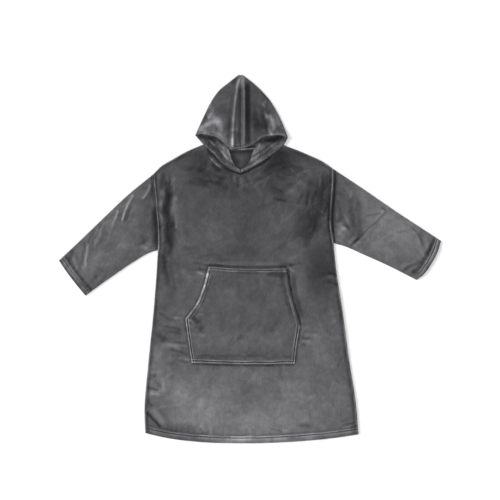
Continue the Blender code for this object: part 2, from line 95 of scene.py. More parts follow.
# %% [markdown]
# ## Sizes of the cloth and its hems
#
# A ply of plush is 3 mm thick. Heights over the surface follow from the plies that lie on each
# other. The hems are the widths from an edge to its stitching.

# %% Cloth sizes
PLY = 3.0
TUBE_GAP = 1.0
HOOD_GAP = 1.5
FRONT_BASE = PLY + LAYER_GAP + PLY
HOOD_REST = 2 * PLY + 4 * LAYER_GAP
SLEEVE_STACK = 2 * PLY + TUBE_GAP
HOOD_STACK = 2 * PLY + HOOD_GAP
BODY_HEM = 18.0
CUFF_HEM = 16.0
HOOD_HEM = 12.0
POCKET_HEM = 6.5
MOUTH_HEM = 13.0
print("Front panel's upper side over the surface:", FRONT_BASE, "mm")

# %% [markdown]
# ## The outlines
#
# Each row of a table of pairs gives one station of an edge, on the wearer's right and left
# side. The photograph's left is the wearer's right.

# %% Outline tables
Pair = namedtuple("Pair", "right_x right_y left_x left_y")
Point = namedtuple("Point", "x y")


def table(kind, *rows):
    """A list of rows of one kind, whose columns have the kind's names."""
    return [kind(*row) for row in rows]


SIDE_SEAMS = table(
    Pair,
    (-360, -600, 374, -604),
    (-363, -535, 367, -514),
    (-351, -369, 342, -348),
    (-334, -203, 320, -183),
    (-321, -38, 295, -17),
    (-317, 31, 288, 55),
)
ARMHOLES = table(
    Pair,
    (-317, 31, 288, 55),
    (-317, 94, 279, 125),
    (-323, 173, 281, 178),
    (-329, 244, 287, 252),
    (-333, 292, 287, 310),
)
SHOULDERS = table(
    Pair,
    (-333, 292, 287, 310),
    (-307, 318, 256, 332),
    (-265, 344, 214, 353),
    (-224, 367, 173, 371),
    (-155, 397, 93, 400),
)
BACK_NECK = table(
    Pair,
    (-155, 397, 93, 400),
    (-96, 382, 35, 384),
    (-32, 377, -32, 377),
)
NECK_SEAM = table(
    Pair,
    (-155, 397, 93, 400),
    (-147, 374, 89, 376),
    (-130, 345, 70, 347),
    (-92, 312, 35, 317),
    (-32, 289, -32, 289),
)
ROLL_LINE = table(
    Pair,
    (-74, 380, 15, 381),
    (-67, 361, 7, 361),
    (-58, 336, -3, 335),
    (-49, 321, -15, 318),
    (-32, 308, -32, 308),
)
HEM = table(
    Point,
    (-360, -600),
    (-307, -613),
    (-203, -628),
    (-34, -635),
    (173, -628),
    (318, -613),
    (374, -604),
)
SLEEVE_TOP = table(
    Pair,
    (-333, 292, 287, 310),
    (-414, 226, 382, 247),
    (-517, 129, 500, 166),
    (-593, 56, 590, 107),
    (-658, -5, 659, 62),
)
SLEEVE_UNDER = table(
    Pair,
    (-317, 31, 288, 55),
    (-341, 24, 323, 45),
    (-398, -8, 395, 14),
    (-475, -60, 475, -22),
    (-567, -126, 574, -72),
)
CUFFS = table(
    Pair,
    (-658, -5, 659, 62),
    (-640, -32, 645, 20),
    (-612, -70, 622, -22),
    (-585, -104, 598, -54),
    (-567, -126, 574, -72),
)
HOOD_OUTLINE = table(
    Pair,
    (-40, 634, -24, 634),
    (-76, 606, 12, 606),
    (-104, 583, 37, 583),
    (-134, 542, 72, 542),
    (-155, 500, 97, 500),
    (-174, 459, 116, 459),
    (-188, 426, 131, 418),
)
HOOD_BORDER = table(
    Pair,
    (-188, 426, 131, 418),
    (-163, 398, 116, 393),
    (-125, 361, 80, 361),
    (-90, 325, 35, 330),
    (-66, 309, -8, 306),
    (-32, 296, -32, 296),
)
HOOD_BROW = table(
    Pair,
    (-188, 426, 131, 418),
    (-165, 430, 112, 424),
    (-141, 425, 75, 424),
    (-112, 417, 45, 418),
    (-90, 399, 20, 401),
    (-72, 383, 0, 389),
    (-55, 378, -18, 382),
    (-32, 378, -32, 378),
)
HOOD_TOP_Y = 634
HOOD_BROW_Y = 378
HOOD_NAPE_Y = 379
POCKET_SIDES = table(
    Pair,
    (-201, -357, 154, -360),
    (-213, -280, 163, -292),
    (-223, -205, 173, -229),
)
POCKET_MOUTHS = table(
    Pair,
    (-223, -205, 173, -229),
    (-206, -183, 162, -191),
    (-185, -152, 151, -158),
    (-166, -109, 139, -108),
    (-143, -26, 127, -32),
)
POCKET_FOOT = [Point(-201, -357), Point(-20, -362), Point(154, -360)]
POCKET_TOP = [Point(-143, -26), Point(-10, -33), Point(127, -32)]
print("Outline stations:", sum(map(len, (SIDE_SEAMS, ARMHOLES, SHOULDERS, HEM, HOOD_OUTLINE))))

# %% [markdown]
# ## Folds, brushed nap and painted shading
#
# A stroke runs from one point to another, with a width and a height. The same shape serves
# twice. In a table of folds its height is in millimetres, and a height below zero is a trough.
# In a table of nap it is a tone: plush looks lighter or darker by the way its pile was brushed,
# and many of these strokes are painted shade and painted highlights, in creases, beside seams and
# on folds.
# The strokes are placed one by one, and bend says how far the middle of one swings to its left.
# A ripple is soft noise in the cloth's height, with patches long by wide.

# %% Folds of the front
Stroke = namedtuple("Stroke", "x y to_x to_y width height bend", defaults=[0])
Ripple = namedtuple("Ripple", "long wide seed height")

FRONT_FOLDS = table(
    Stroke,
    (-262, 255, -256, -100, 20, 3.0, 8),
    (-300, 225, -293, 60, 9, 2.2, 4),
    (-283, 290, -276, -80, 9, -2.2, 6),
    (-318, 270, -290, 215, 7, 2.0),
    (-62, 262, -78, 210, 8, 2.4),
    (-46, 262, -50, 216, 5, -1.4),
    (-30, 264, -24, 205, 7, 2.0),
    (-12, 262, 2, 218, 5, -1.4),
    (6, 266, 46, 222, 8, 2.2),
    (-120, 262, -160, 240, 14, 1.6),
    (110, 258, 170, 226, 14, 1.6),
    (249, 217, 221, 152, 11, 3.2, -6),
    (266, 152, 237, 73, 10, 2.8, 6),
    (232, 250, 206, 196, 8, 1.8, -4),
    (207, 48, 268, 76, 10, 2.8, 5),
    (196, 92, 232, 112, 7, 1.8),
    (172, 20, 228, 40, 9, 1.6, 4),
    (120, 232, 186, 222, 12, 1.4),
    (60, 160, 92, 96, 16, 1.2, 8),
    (-150, 140, -110, 60, 18, 1.2, -8),
    (252, -68, 298, -52, 7, 3.0),
    (248, -52, 296, -36, 5, -1.8),
    (262, -92, 302, -80, 7, 2.2),
    (268, -140, 296, -226, 10, 1.8, 4),
    (-192, -45, -160, -47, 6, 3.0),
    (-214, -36, -168, -36, 5, -1.4),
    (-214, -62, -172, -60, 6, 1.8),
    (-238, -30, -196, -88, 9, 1.8, 5),
    (-258, -202, -228, -205, 6, 2.6),
    (-305, -217, -248, -236, 10, 2.8, 4),
    (-296, -246, -236, -262, 7, -2.0, 3),
    (-310, -290, -236, -312, 10, 3.0, 5),
    (-298, -314, -226, -340, 7, -2.2, 4),
    (-282, -340, -222, -368, 8, 2.2, 4),
    (190, -262, 250, -268, 7, 2.6, 3),
    (182, -250, 236, -252, 5, -1.6),
    (186, -286, 232, -296, 6, 1.8),
    (-334, -516, -288, -580, 11, 4.4, 4),
    (-360, -526, -308, -584, 8, -3.0, 4),
    (-356, -470, -300, -452, 10, 3.0),
    (-352, -440, -308, -424, 7, -2.0),
    (-350, -402, -300, -386, 8, 2.0),
    (-165, -560, -158, -606, 9, 2.6),
    (-136, -578, -126, -618, 7, 2.0),
    (70, -583, 132, -592, 8, 2.6),
    (66, -572, 128, -579, 6, -1.6),
    (164, -570, 214, -577, 9, -1.8),
    (318, -572, 364, -560, 8, 3.2),
    (312, -560, 362, -546, 6, -2.0),
    (-152, -12, 132, -18, 5, 1.7, 2),
    (-150, -20, 134, -26, 4, -1.4, 2),
    (-205, -372, 160, -376, 9, -1.2),
    (-60, -392, -110, -430, 14, 1.0),
    (60, -400, 96, -452, 14, 1.0),
    (240, -330, 320, -440, 24, 1.4, 14),
    (-250, -420, -190, -520, 26, 1.2, -12),
)
FRONT_RIPPLES = table(Ripple, (90, 55, 1.5, 1.0), (34, 24, 7.5, 0.5))
print("Folds of the front:", len(FRONT_FOLDS))

# %% [markdown]
# ## Seam and hem profiles
#
# Plush rolls down into a seam and swells just beside it. A rim table gives that profile: how
# far the cloth stands over its plain surface at a distance in from the edge. A stitched hem
# has a swelling, a groove where the thread pulls it down, and a second swelling.

# %% Rim tables
Rim = namedtuple("Rim", "inset lift")

SEAM_RIM = table(
    Rim,
    (0, -1.4),
    (0.7, 0.1),
    (1.6, 1.1),
    (2.8, 1.3),
    (4.2, 0.5),
    (6.0, -0.6),
    (8.5, -0.9),
    (12.5, -0.4),
    (18, 0),
)
CUT_RIM = [Rim(0, -2.0), Rim(0.5, -0.9), Rim(1.3, 0.2), Rim(2.6, 1.0), Rim(4.2, 0.7)]


def hem_rim(hem):
    """The profile of a turned hem whose stitching lies hem millimetres in from the edge."""
    middle = [Rim(hem - 3.0, 0.8)] if hem > 8 else []
    groove = [(-1.3, 0.0), (0, -1.3), (1.3, 0.0)]
    beyond = [(2.8, 1.0), (4.6, 0.6), (7.0, -0.3), (13.0, 0.0)]
    return CUT_RIM + middle + [Rim(hem + away, lift) for away, lift in groove + beyond]


HEM_RIM = hem_rim(BODY_HEM)
CUFF_RIM = hem_rim(CUFF_HEM)
HOOD_RIM = hem_rim(HOOD_HEM)
POCKET_RIM = hem_rim(POCKET_HEM)
MOUTH_RIM = hem_rim(MOUTH_HEM)

# A groove is never pulled further down than this
RIM_FLOOR = -2.2

# Painted highlight and shade: how much lighter the colour is made for each millimetre that the pile
# is pushed up, and how much darker for each millimetre that it sinks into a groove
RIM_PAINTED_LIGHT = 0.36
FOLD_PAINTED_LIGHT = 0.095

# How deep the trough beside a fold is, as a share of the fold's height
FOLD_TROUGH, HOOD_TROUGH = 0.3, 0.25
print("Rows in a hem's profile:", len(HEM_RIM))

# %% [markdown]
# ## Lines and patches
#
# A line is a smooth curve through a few points. A patch spreads a grid between four lines, so
# that its rows and columns follow the garment's edges. Both are worked out with numpy.

# %% Line and patch functions


def line(points):
    """A smooth line through the points, as a function of its share from 0 to 1."""
    knots = np.array(points, float)
    lengths = np.linalg.norm(np.diff(knots, axis=0), axis=1)
    shares = np.concatenate([[0.0], np.cumsum(lengths)]) / lengths.sum()
    slopes = np.gradient(knots, shares, axis=0)

    def at(share):
        share = np.clip(np.asarray(share, float), 0, 1)
        index = np.clip(np.searchsorted(shares, share, side="right") - 1, 0, len(knots) - 2)
        span = shares[index + 1] - shares[index]
        s = (share - shares[index]) / span
        s, span = s[..., None], span[..., None]
        return (
            (2 * s**3 - 3 * s**2 + 1) * knots[index]
            + (s**3 - 2 * s**2 + s) * span * slopes[index]
            + (3 * s**2 - 2 * s**3) * knots[index + 1]
            + (s**3 - s**2) * span * slopes[index + 1]
        )

    return at


def joined(*legs):
    """One line from several; each leg is the share at which it ends, and its line."""
    ends = [end for end, _ in legs]
    starts = [0.0, *ends[:-1]]

    def at(share):
        share = np.asarray(share, float)
        placed = np.zeros(share.shape + (2,))
        for start, (end, leg) in zip(starts, legs):
            inside = (share >= start) & (share <= end)
            placed[inside] = leg((share[inside] - start) / (end - start))
        return placed

    return at


def turned(leg):
    """The same line, run from its other end."""
    return lambda share: leg(1 - np.asarray(share, float))


RIGHT, LEFT = -1, 1
SIDES = (RIGHT, LEFT)


def side_points(pairs, side):
    """The points of a table of pairs on one side."""
    if side == RIGHT:
        return [(row.right_x, row.right_y) for row in pairs]
    return [(row.left_x, row.left_y) for row in pairs]


def side_line(pairs, side):
    return line(side_points(pairs, side))


def patch(foot, head, near, far):
    """The plan surface that four lines bound: foot and head run with u, near and far with v."""
    corners = [near(0.0), far(0.0), near(1.0), far(1.0)]

    def at(u, v):
        u, v = np.broadcast_arrays(np.asarray(u, float), np.asarray(v, float))
        a, b = u[..., None], v[..., None]
        ruled = (1 - b) * foot(u) + b * head(u) + (1 - a) * near(v) + a * far(v)
        plain = (
            (1 - a) * (1 - b) * corners[0]
            + a * (1 - b) * corners[1]
            + (1 - a) * b * corners[2]
            + a * b * corners[3]
        )
        return ruled - plain

    return at


def soft_step(value):
    value = np.clip(value, 0, 1)
    return value * value * (3 - 2 * value)


def spread(start, stop, step):
    """Even shares from start to stop, about step apart."""
    return np.linspace(start, stop, max(2, round(abs(stop - start) / step) + 1))


def graded(size, low_rims, high_rims, step):
    """Shares across a size: close together where the rims need them, and even between."""
    low, high = [np.array(sorted({rim.inset for rim in rims})) / size for rims in (low_rims, high_rims)]
    middle = spread(low[-1], 1 - high[-1], step / size)
    return np.concatenate([low[:-1], middle, (1 - high[:-1])[::-1]])


def edge_lines(edge, sides):
    """The lines of an edge: one for each side, or a single one where the edge spans both."""
    if isinstance(edge[0], Pair):
        return [(side_line(edge, side), side) for side in sides]
    return [(line(edge), 0)]


print("The left shoulder's middle, mm:", side_line(SHOULDERS, LEFT)(0.5).round(1))

# %% [markdown]
# ## Heights
#
# A fold is highest along its line and has a slight trough on one side, as cloth has where it
# was pushed together. Noise adds the small unevenness that a soft pile always keeps.

# %% Height functions


def strokes_at(strokes, spots, trough=0.0, power=2):
    """The height that a table's strokes give at plan points. Each fades towards its ends."""
    height = np.zeros(spots.shape[:-1])
    for stroke in strokes:
        start = np.array([stroke.x, stroke.y], float)
        run = np.array([stroke.to_x, stroke.to_y], float) - start
        length = max(np.linalg.norm(run), 0.001)
        along = (spots - start) @ run / length
        side = (spots - start) @ np.array([-run[1], run[0]]) / length
        share = np.clip(along / length, 0, 1)
        side = (side - 4 * stroke.bend * share * (1 - share)) / stroke.width
        ends = soft_step((along + stroke.width) / (2.4 * stroke.width))
        ends = ends * soft_step((length + stroke.width - along) / (2.4 * stroke.width))
        shape = np.exp(-(np.abs(side) ** power)) - trough * np.exp(-(((side - 1.7) / 0.9) ** 2))
        height = height + stroke.height * ends * shape
    return height


def rim_lift(rims, inset):
    """The height that an edge's profile gives at a distance in from the edge."""
    return np.interp(inset, [rim.inset for rim in rims], [rim.lift for rim in rims])


def joined_rims(*lifts):
    """The lift where edges meet: the deepest groove, or else the highest swelling."""
    lowest, highest = np.min(lifts, axis=0), np.max(lifts, axis=0)
    return np.where(lowest < 0, lowest, highest)


def ripple(spots, long, wide, seed):
    """Soft noise from -1 to 1 over plan points, with patches long by wide millimetres."""
    flat = spots.reshape(-1, 2)
    values = [noise.noise(Vector((x / wide, y / long, seed))) for x, y in flat]
    return np.array(values).reshape(spots.shape[:-1])


def ripples_at(ripples, spots):
    """The height that a table of ripples gives at plan points."""
    return sum(row.height * ripple(spots, row.long, row.wide, row.seed) for row in ripples)


probe = np.array([[-259.0, 78.0]])
print("A fold's height on its line, mm:", strokes_at(FRONT_FOLDS[:1], probe).round(2))

# %% [markdown]
# ## Tones of the pile, with painted shade and highlights
#
# The strokes' edges wander, since nobody brushes plush in straight lines; the lines of painted
# shade and highlight along seams and creases wander less. Smears scatter short strokes, lighter
# and darker, in an oval, and smudges fill what is left.

# %% Tone functions
Smear = namedtuple("Smear", "x y reach_x reach_y lean count length height")

# How strongly the strokes, painted shade and painted highlights among them, and the small smudges
# between them tone the pile
STROKE_TONE_GAIN = 1.25
STROKE_TONE_POWER = 3
WANDER_SIZES = (32, 13, 7)
LINE_WANDER = 0.14
SMUDGE = 0.065
Smudge = namedtuple("Smudge", "long wide seed contrast")
SMUDGES = table(Smudge, (24, 42, 41.5, 3.0), (11, 16, 47.5, 3.5))


def nap_and_painted_shading_at(strokes, spots, lines=(), wander=0.7, smudging=SMUDGE):
    """The tone of brushed pile with its painted shade and highlights: strokes with wandering edges,
    steadier lines, and smudges.
    """
    moves = [
        sum(size / 4 * ripple(spots, size, size, seed + size) for size in WANDER_SIZES)
        for seed in (0.5, 60.5)
    ]
    moves = np.stack(moves, axis=-1)
    wandered, steady = spots + wander * moves, spots + LINE_WANDER * moves
    drawn = strokes_at(strokes, wandered, power=STROKE_TONE_POWER)
    drawn = drawn + strokes_at(lines, steady, power=STROKE_TONE_POWER)
    smudges = [
        np.tanh(row.contrast * ripple(wandered, row.long, row.wide, row.seed)) for row in SMUDGES
    ]
    return STROKE_TONE_GAIN * drawn + smudging * sum(smudges)


def smeared(smears):
    """The strokes of a table of smears."""
    rows = []
    for index, smear in enumerate(smears):
        chance = np.random.default_rng(index + 3)
        for _ in range(smear.count):
            turn, away = chance.uniform(0, 2 * math.pi), math.sqrt(chance.uniform(0, 1))
            x = smear.x + smear.reach_x * away * math.cos(turn)
            y = smear.y + smear.reach_y * away * math.sin(turn)
            lean = math.radians(smear.lean + chance.normal(0, 18))
            half = smear.length * chance.uniform(0.25, 0.65)
            strength = smear.height * chance.uniform(0.4, 1.2) * chance.choice([-1, 1])
            run_x, run_y = half * math.cos(lean), half * math.sin(lean)
            width, bend = chance.uniform(2.6, 6.5), chance.uniform(-5, 5)
            rows.append(Stroke(x - run_x, y - run_y, x + run_x, y + run_y, width, strength, bend))
    return rows


UNEVEN_RIPPLES = table(Ripple, (30, 30, 31.5, 1.5))
UNEVEN_RANGE = (0.15, 1.9)


def uneven(spots):
    """A factor round 1 by which a seam's swelling varies along it."""
    return np.clip(1 + ripples_at(UNEVEN_RIPPLES, spots), *UNEVEN_RANGE)


print("Tone of plain plush at one spot:", nap_and_painted_shading_at([], np.array([[0.0, 0.0]])).round(3))

# %% [markdown]
# ## Marks and puckers along an edge
#
# A mark is a painted line that follows an edge, at an inset from it: painted highlights on
# swellings, painted shade in grooves and painted shadows beside seams. A pucker is one of
# the small folds that stitching draws up beside it. A turn of 1 lays them to the inner side of
# an edge of the body, and one of -1 to its outer side. A mark that is drawn on one side of the
# garment alone names it in its last column.

# %% Marks and puckers
Mark = namedtuple("Mark", "edge turn inset width height only", defaults=[None])
Pucker = namedtuple("Pucker", "edge turn start reach height step seed")
PATH_SAMPLES = 60
PUCKER_WIDTH, PUCKER_GAIN = 3.4, 2.6
MARK_PARTS, MARK_VARIATION = 10, 0.7


def beside(path, turn, inset, width, height):
    """Strokes that follow a path at a distance from it, some stronger than others."""
    spots = path(np.linspace(0, 1, MARK_PARTS + 1))
    runs = np.gradient(spots, axis=0)
    runs = runs / np.linalg.norm(runs, axis=1)[:, None]
    moved = spots + turn * inset * np.stack([-runs[:, 1], runs[:, 0]], axis=1)
    rows = []
    for index in range(MARK_PARTS):
        chance = noise.noise(Vector((2.3 * index, inset, 5.5 + turn)))
        strength = height * (1 + MARK_VARIATION * chance)
        rows.append(Stroke(*moved[index], *moved[index + 1], width, strength))
    return rows


def marked(marks, sides=SIDES):
    """The strokes of a table of marks, on the sides that are given."""
    strokes = []
    for mark in marks:
        for path, side in edge_lines(mark.edge, sides):
            if mark.only in (None, side):
                turn = mark.turn * (side or 1)
                strokes += beside(path, turn, mark.inset, mark.width, mark.height)
    return strokes


def hem_painted_shading(edge, turn, hem):
    """The painted lines of a stitched hem: painted highlights on its swellings, and painted shade in
    the thread's groove.
    """
    lines = [(-3.6, 1.9, 0.40), (0, 1.7, -0.45), (3.8, 2.1, 0.46), (10, 4.5, -0.22)]
    return [Mark(edge, turn, hem + away, width, height) for away, width, height in lines]


def puckers_of(path, turn, row, seed):
    """The folds of one row of a table of puckers, along a path."""
    samples = path(np.linspace(0, 1, PATH_SAMPLES))
    length = np.linalg.norm(np.diff(samples, axis=0), axis=1).sum()
    count = int(length / row.step)
    folds = []
    for index in range(count):
        chances = [noise.noise(Vector((1.7 * index, seed, part))) for part in (0.5, 1.5, 2.5)]
        drift, strength, slant = chances
        share = (index + 0.5 + 0.6 * drift) / count
        spot, ahead = path(share), path(min(share + 0.02, 1.0))
        run = (ahead - spot) / max(np.linalg.norm(ahead - spot), 0.001)
        away = turn * np.array([-run[1], run[0]]) + 0.8 * slant * run
        reach = row.start + row.reach * (0.7 + abs(strength))
        begin, end = spot + away * row.start, spot + away * reach
        width = PUCKER_WIDTH + 3 * abs(drift)
        folds.append(Stroke(*begin, *end, width, PUCKER_GAIN * row.height * strength))
    return folds


def puckered(puckers, sides=SIDES):
    """The folds of a table of puckers, on the sides that are given."""
    folds = []
    for row in puckers:
        for path, side in edge_lines(row.edge, sides):
            folds += puckers_of(path, row.turn * (side or 1), row, row.seed + side)
    return folds


print("Strokes that follow the hem's stitching:", len(marked(hem_painted_shading(HEM, 1, BODY_HEM))))

# %% [markdown]
# ## How high the layers lie
#
# The front is soft and full in its middle. What lies on it follows this height: the pocket on
# it, and the hood, which lies on both body layers and falls to the surface beyond them.

# %% The front's height


def side_x(y, side):
    """Where the body's side lies at a height y, along side seam and armhole."""
    points = np.array(side_points(SIDE_SEAMS + ARMHOLES[1:], side), float)
    return np.interp(y, points[:, 1], points[:, 0])


BODY_CROWN = 2.0
CROWN_NECK_Y = 270.0
HEM_FADE, NECK_FADE = 70.0, 90.0
HEM_MIDDLE_Y = HEM[3].y


def body_crown(spots):
    """The soft fullness of the front, which fades to its sides, its hem and its neck."""
    x, y = spots[..., 0], spots[..., 1]
    right, left = side_x(y, RIGHT), side_x(y, LEFT)
    across = (2 * x - left - right) / (left - right)
    crown = BODY_CROWN * (1 - np.clip(np.abs(across), 0, 1) ** 4)
    crown = crown * soft_step((y - HEM_MIDDLE_Y - BODY_HEM) / HEM_FADE)
    return crown * soft_step((CROWN_NECK_Y - y) / NECK_FADE)


HOOD_OVAL_Y, HOOD_OVAL_WIDTH, HOOD_OVAL_HEIGHT = 410.0, 172.0, 128.0
HOOD_OVAL_EDGE, HOOD_OVAL_FADE = 1.02, 0.16


def clear_of_hood(spots):
    """0 where the hood lies on the front and 1 beyond it."""
    across = (spots[..., 0] - MIDDLE_X) / HOOD_OVAL_WIDTH
    up = (spots[..., 1] - HOOD_OVAL_Y) / HOOD_OVAL_HEIGHT
    return soft_step((np.hypot(across, up) - HOOD_OVAL_EDGE) / HOOD_OVAL_FADE)


FRONT_PUCKERS = table(
    Pucker,
    (HEM, 1, BODY_HEM + 4, 26, 1.2, 17, 1.5),
    (POCKET_FOOT, -1, 3, 18, 0.8, 15, 2.5),
    (ARMHOLES, 1, 7, 22, 1.2, 17, 3.5),
    (SIDE_SEAMS, 1, 6, 22, 1.0, 24, 6.5),
    (POCKET_SIDES, -1, 3, 20, 1.0, 14, 9.5),
    (POCKET_MOUTHS, -1, 5, 14, 0.7, 18, 12.5),
)
FRONT_RELIEF = FRONT_FOLDS + puckered(FRONT_PUCKERS)
FRONT_LOWEST = -0.15


def front_height(spots):
    """The front panel's upper side, which what lies on it follows."""
    loose = strokes_at(FRONT_RELIEF, spots, trough=FOLD_TROUGH) + ripples_at(FRONT_RIPPLES, spots)
    lift = body_crown(spots) + clear_of_hood(spots) * loose
    return FRONT_BASE + np.maximum(lift, FRONT_LOWEST)


probe = np.array([[0.0, 0.0], [-262.0, 100.0]])
print("Front's height at two places, mm:", front_height(probe).round(2))

# %% What the hood lies on
HOOD_LEVEL, HOOD_RAMP = 20.0, 50.0


def stack_edge():
    """The upper edge of the body's two layers: shoulder, roll line, and back again."""
    right, left = [side_points(SHOULDERS, side) + side_points(ROLL_LINE, side) for side in SIDES]
    closing = [(ARMHOLES[0].left_x, 0), (ARMHOLES[0].right_x, 0)]
    return np.array(right + left[-2::-1] + closing, float)


def stack_under_hood(spots):
    """How high the body's layers hold the hood's lower layer over the surface."""
    corners = stack_edge()
    ends = np.roll(corners, -1, axis=0)
    nearest = np.full(spots.shape[:-1], np.inf)
    crossings = np.zeros(spots.shape[:-1], int)
    for start, end in zip(corners, ends):
        run = end - start
        share = np.clip((spots - start) @ run / (run @ run), 0, 1)
        offset = spots - start - share[..., None] * run
        nearest = np.minimum(nearest, np.linalg.norm(offset, axis=-1))
        above = (start[1] > spots[..., 1]) != (end[1] > spots[..., 1])
        rise = run[1] if run[1] else 1.0
        meets = start[0] + run[0] * (spots[..., 1] - start[1]) / rise
        crossings += (above & (spots[..., 0] < meets)).astype(int)
    outside = np.where(crossings % 2 == 1, 0.0, nearest)
    return HOOD_REST * (1 - soft_step((outside - HOOD_LEVEL) / HOOD_RAMP))


probe = np.array([[MIDDLE_X, NECK_POINT_Y], [MIDDLE_X, HOOD_TOP_Y]])
print("The hood's rest on the body and at its top, mm:", stack_under_hood(probe).round(2))

# %% [markdown]
# ## From points to plush
#
# A wall is two sheets of points, the outer and the inner side of the cloth, closed by a strip
# along their rims. Each vertex also carries the nap's tone, with the painted shade and painted
# highlights in it, which the material reads.

# %% Mesh functions


def with_heights(spots, heights):
    return np.concatenate([spots, np.broadcast_to(heights, spots.shape[:-1])[..., None]], axis=-1)


def add_sheet(mesh, points, tones, layer):
    """Adds a grid of faces that runs through rows and columns of points."""
    rows, columns = points.shape[:2]
    grid = bmesh.ops.create_grid(mesh, x_segments=columns - 1, y_segments=rows - 1, size=1)
    for vert in grid["verts"]:
        row = round((vert.co.y + 1) / 2 * (rows - 1))
        column = round((vert.co.x + 1) / 2 * (columns - 1))
        vert.co = (points[row, column] + PLACE) * MM
        vert[layer] = tones[row, column]


def finished(name, mesh, material):
    """The named object of a closed mesh, smooth, with its faces pointing out."""
    bmesh.ops.recalc_face_normals(mesh, faces=mesh.faces)
    data = bpy.data.meshes.new(name)
    mesh.to_mesh(data)
    mesh.free()
    data.shade_smooth()
    data.materials.append(material)
    piece = bpy.data.objects.new(name, data)
    bpy.context.scene.collection.objects.link(piece)
    print(name, "has", len(data.polygons), "faces")
    return piece


def wall(name, outer, inner, tones, inner_tones=None, inner_material=None):
    """A closed wall between two sheets of points, with a rim all round."""
    mesh = bmesh.new()
    # The nap layer holds the nap's tone with its painted shade and highlights
    layer = mesh.verts.layers.float.new("nap")
    add_sheet(mesh, outer, tones, layer)
    outer_faces = len(mesh.faces)
    add_sheet(mesh, inner, tones if inner_tones is None else inner_tones, layer)
    if inner_material:
        for face in list(mesh.faces)[outer_faces:]:
            face.material_index = 1
    bmesh.ops.bridge_loops(mesh, edges=[edge for edge in mesh.edges if edge.is_boundary])
    piece = finished(name, mesh, PLUSH)
    if inner_material:
        piece.data.materials.append(inner_material)
    return piece


def tube(name, outer, inner, tones):
    """A closed wall round a tube: its outer rings, then its inner rings on the way back."""
    rings = np.concatenate([outer, inner[::-1], outer[:1]])
    rings = np.concatenate([rings, rings[:, :1]], axis=1)
    tones = np.concatenate([tones, tones[::-1], tones[:1]])
    tones = np.concatenate([tones, tones[:, :1]], axis=1)
    mesh = bmesh.new()
    # The nap layer holds the nap's tone with its painted shade and highlights
    layer = mesh.verts.layers.float.new("nap")
    add_sheet(mesh, rings, tones, layer)
    bmesh.ops.remove_doubles(mesh, verts=mesh.verts, dist=0.01 * MM)
    return finished(name, mesh, PLUSH)

# %% [markdown]
# ## Plush
#
# The pile scatters light at a glancing angle, which a sheen gives: it adds light lines on seams and
# folds, next to the painted highlights in the tone. The tone from the strokes, with its painted
# shade and painted highlights, is mixed with noise at three sizes: brushed patches, mottling, and
# the pile's own grain. The same noise feeds the bump.

# %% Materials


def noise_node(nodes, links, coordinates, scale, detail, distortion=0.0):
    texture = nodes.new("ShaderNodeTexNoise")
    texture.inputs["Scale"].default_value = scale
    texture.inputs["Detail"].default_value = detail
    texture.inputs["Distortion"].default_value = distortion
    links.new(coordinates, texture.inputs["Vector"])
    return texture.outputs["Fac"]


def math_node(nodes, links, operation, first, second):
    """A Math node; each operand is a socket or a number."""
    node = nodes.new("ShaderNodeMath")
    node.operation = operation
    for index, value in enumerate((first, second)):
        if isinstance(value, (int, float)):
            node.inputs[index].default_value = value
        else:
            links.new(value, node.inputs[index])
    return node.outputs[0]


def plush_material(name, middle, sheen, patch_depth, speckle_depth, bump_depth):
    """Brushed plush of a middle colour. The depths say how strong each noise and the bump are."""
    material = bpy.data.materials.new(name)
    material.use_nodes = True
    nodes, links = material.node_tree.nodes, material.node_tree.links
    shader = nodes["Principled BSDF"]
    shader.inputs["Roughness"].default_value = 0.9
    shader.inputs["Specular IOR Level"].default_value = 0.12
    shader.inputs["Sheen Weight"].default_value = sheen
    shader.inputs["Sheen Roughness"].default_value = 0.38
    shader.inputs["Sheen Tint"].default_value = (0.92, 0.93, 0.97, 1)

    place = nodes.new("ShaderNodeTexCoord").outputs["Object"]
    stretch = nodes.new("ShaderNodeMapping")
    stretch.inputs["Scale"].default_value = (1.35, 0.75, 1.0)
    links.new(place, stretch.inputs["Vector"])
    brushed = stretch.outputs["Vector"]

    patches = noise_node(nodes, links, brushed, scale=14, detail=5, distortion=1.6)
    mottle = noise_node(nodes, links, brushed, scale=110, detail=4, distortion=1.0)
    grain = noise_node(nodes, links, place, scale=420, detail=3)

    # The nap attribute carries painted shade and painted highlights along with the nap's tone
    stroke = nodes.new("ShaderNodeAttribute")
    stroke.attribute_name = "nap"
    tone = stroke.outputs["Fac"]
    depths = ((patches, patch_depth), (mottle, speckle_depth), (grain, speckle_depth))
    for texture, depth in depths:
        centred = math_node(nodes, links, "SUBTRACT", texture, 0.5)
        weighed = math_node(nodes, links, "MULTIPLY", centred, depth)
        tone = math_node(nodes, links, "ADD", tone, weighed)
    gain = math_node(nodes, links, "EXPONENT", tone, 0.0)

    colour = nodes.new("ShaderNodeVectorMath")
    colour.operation = "SCALE"
    colour.inputs[0].default_value = middle
    links.new(gain, colour.inputs["Scale"])
    links.new(colour.outputs["Vector"], shader.inputs["Base Color"])

    coarse = math_node(nodes, links, "MULTIPLY", mottle, 1.6)
    relief = math_node(nodes, links, "ADD", coarse, grain)
    bump = nodes.new("ShaderNodeBump")
    bump.inputs["Strength"].default_value = bump_depth
    bump.inputs["Distance"].default_value = 0.0022
    links.new(relief, bump.inputs["Height"])
    links.new(bump.outputs["Normal"], shader.inputs["Normal"])
    return material


GREY = (0.08, 0.079, 0.0835)
PLUSH = plush_material(
    "plush_grey", GREY, sheen=0.3, patch_depth=0.38, speckle_depth=0.56, bump_depth=0.6
)
REVERSE = plush_material(
    "plush_grey_of_hood", GREY, sheen=0.28, patch_depth=0.5, speckle_depth=1.7, bump_depth=1.0
)


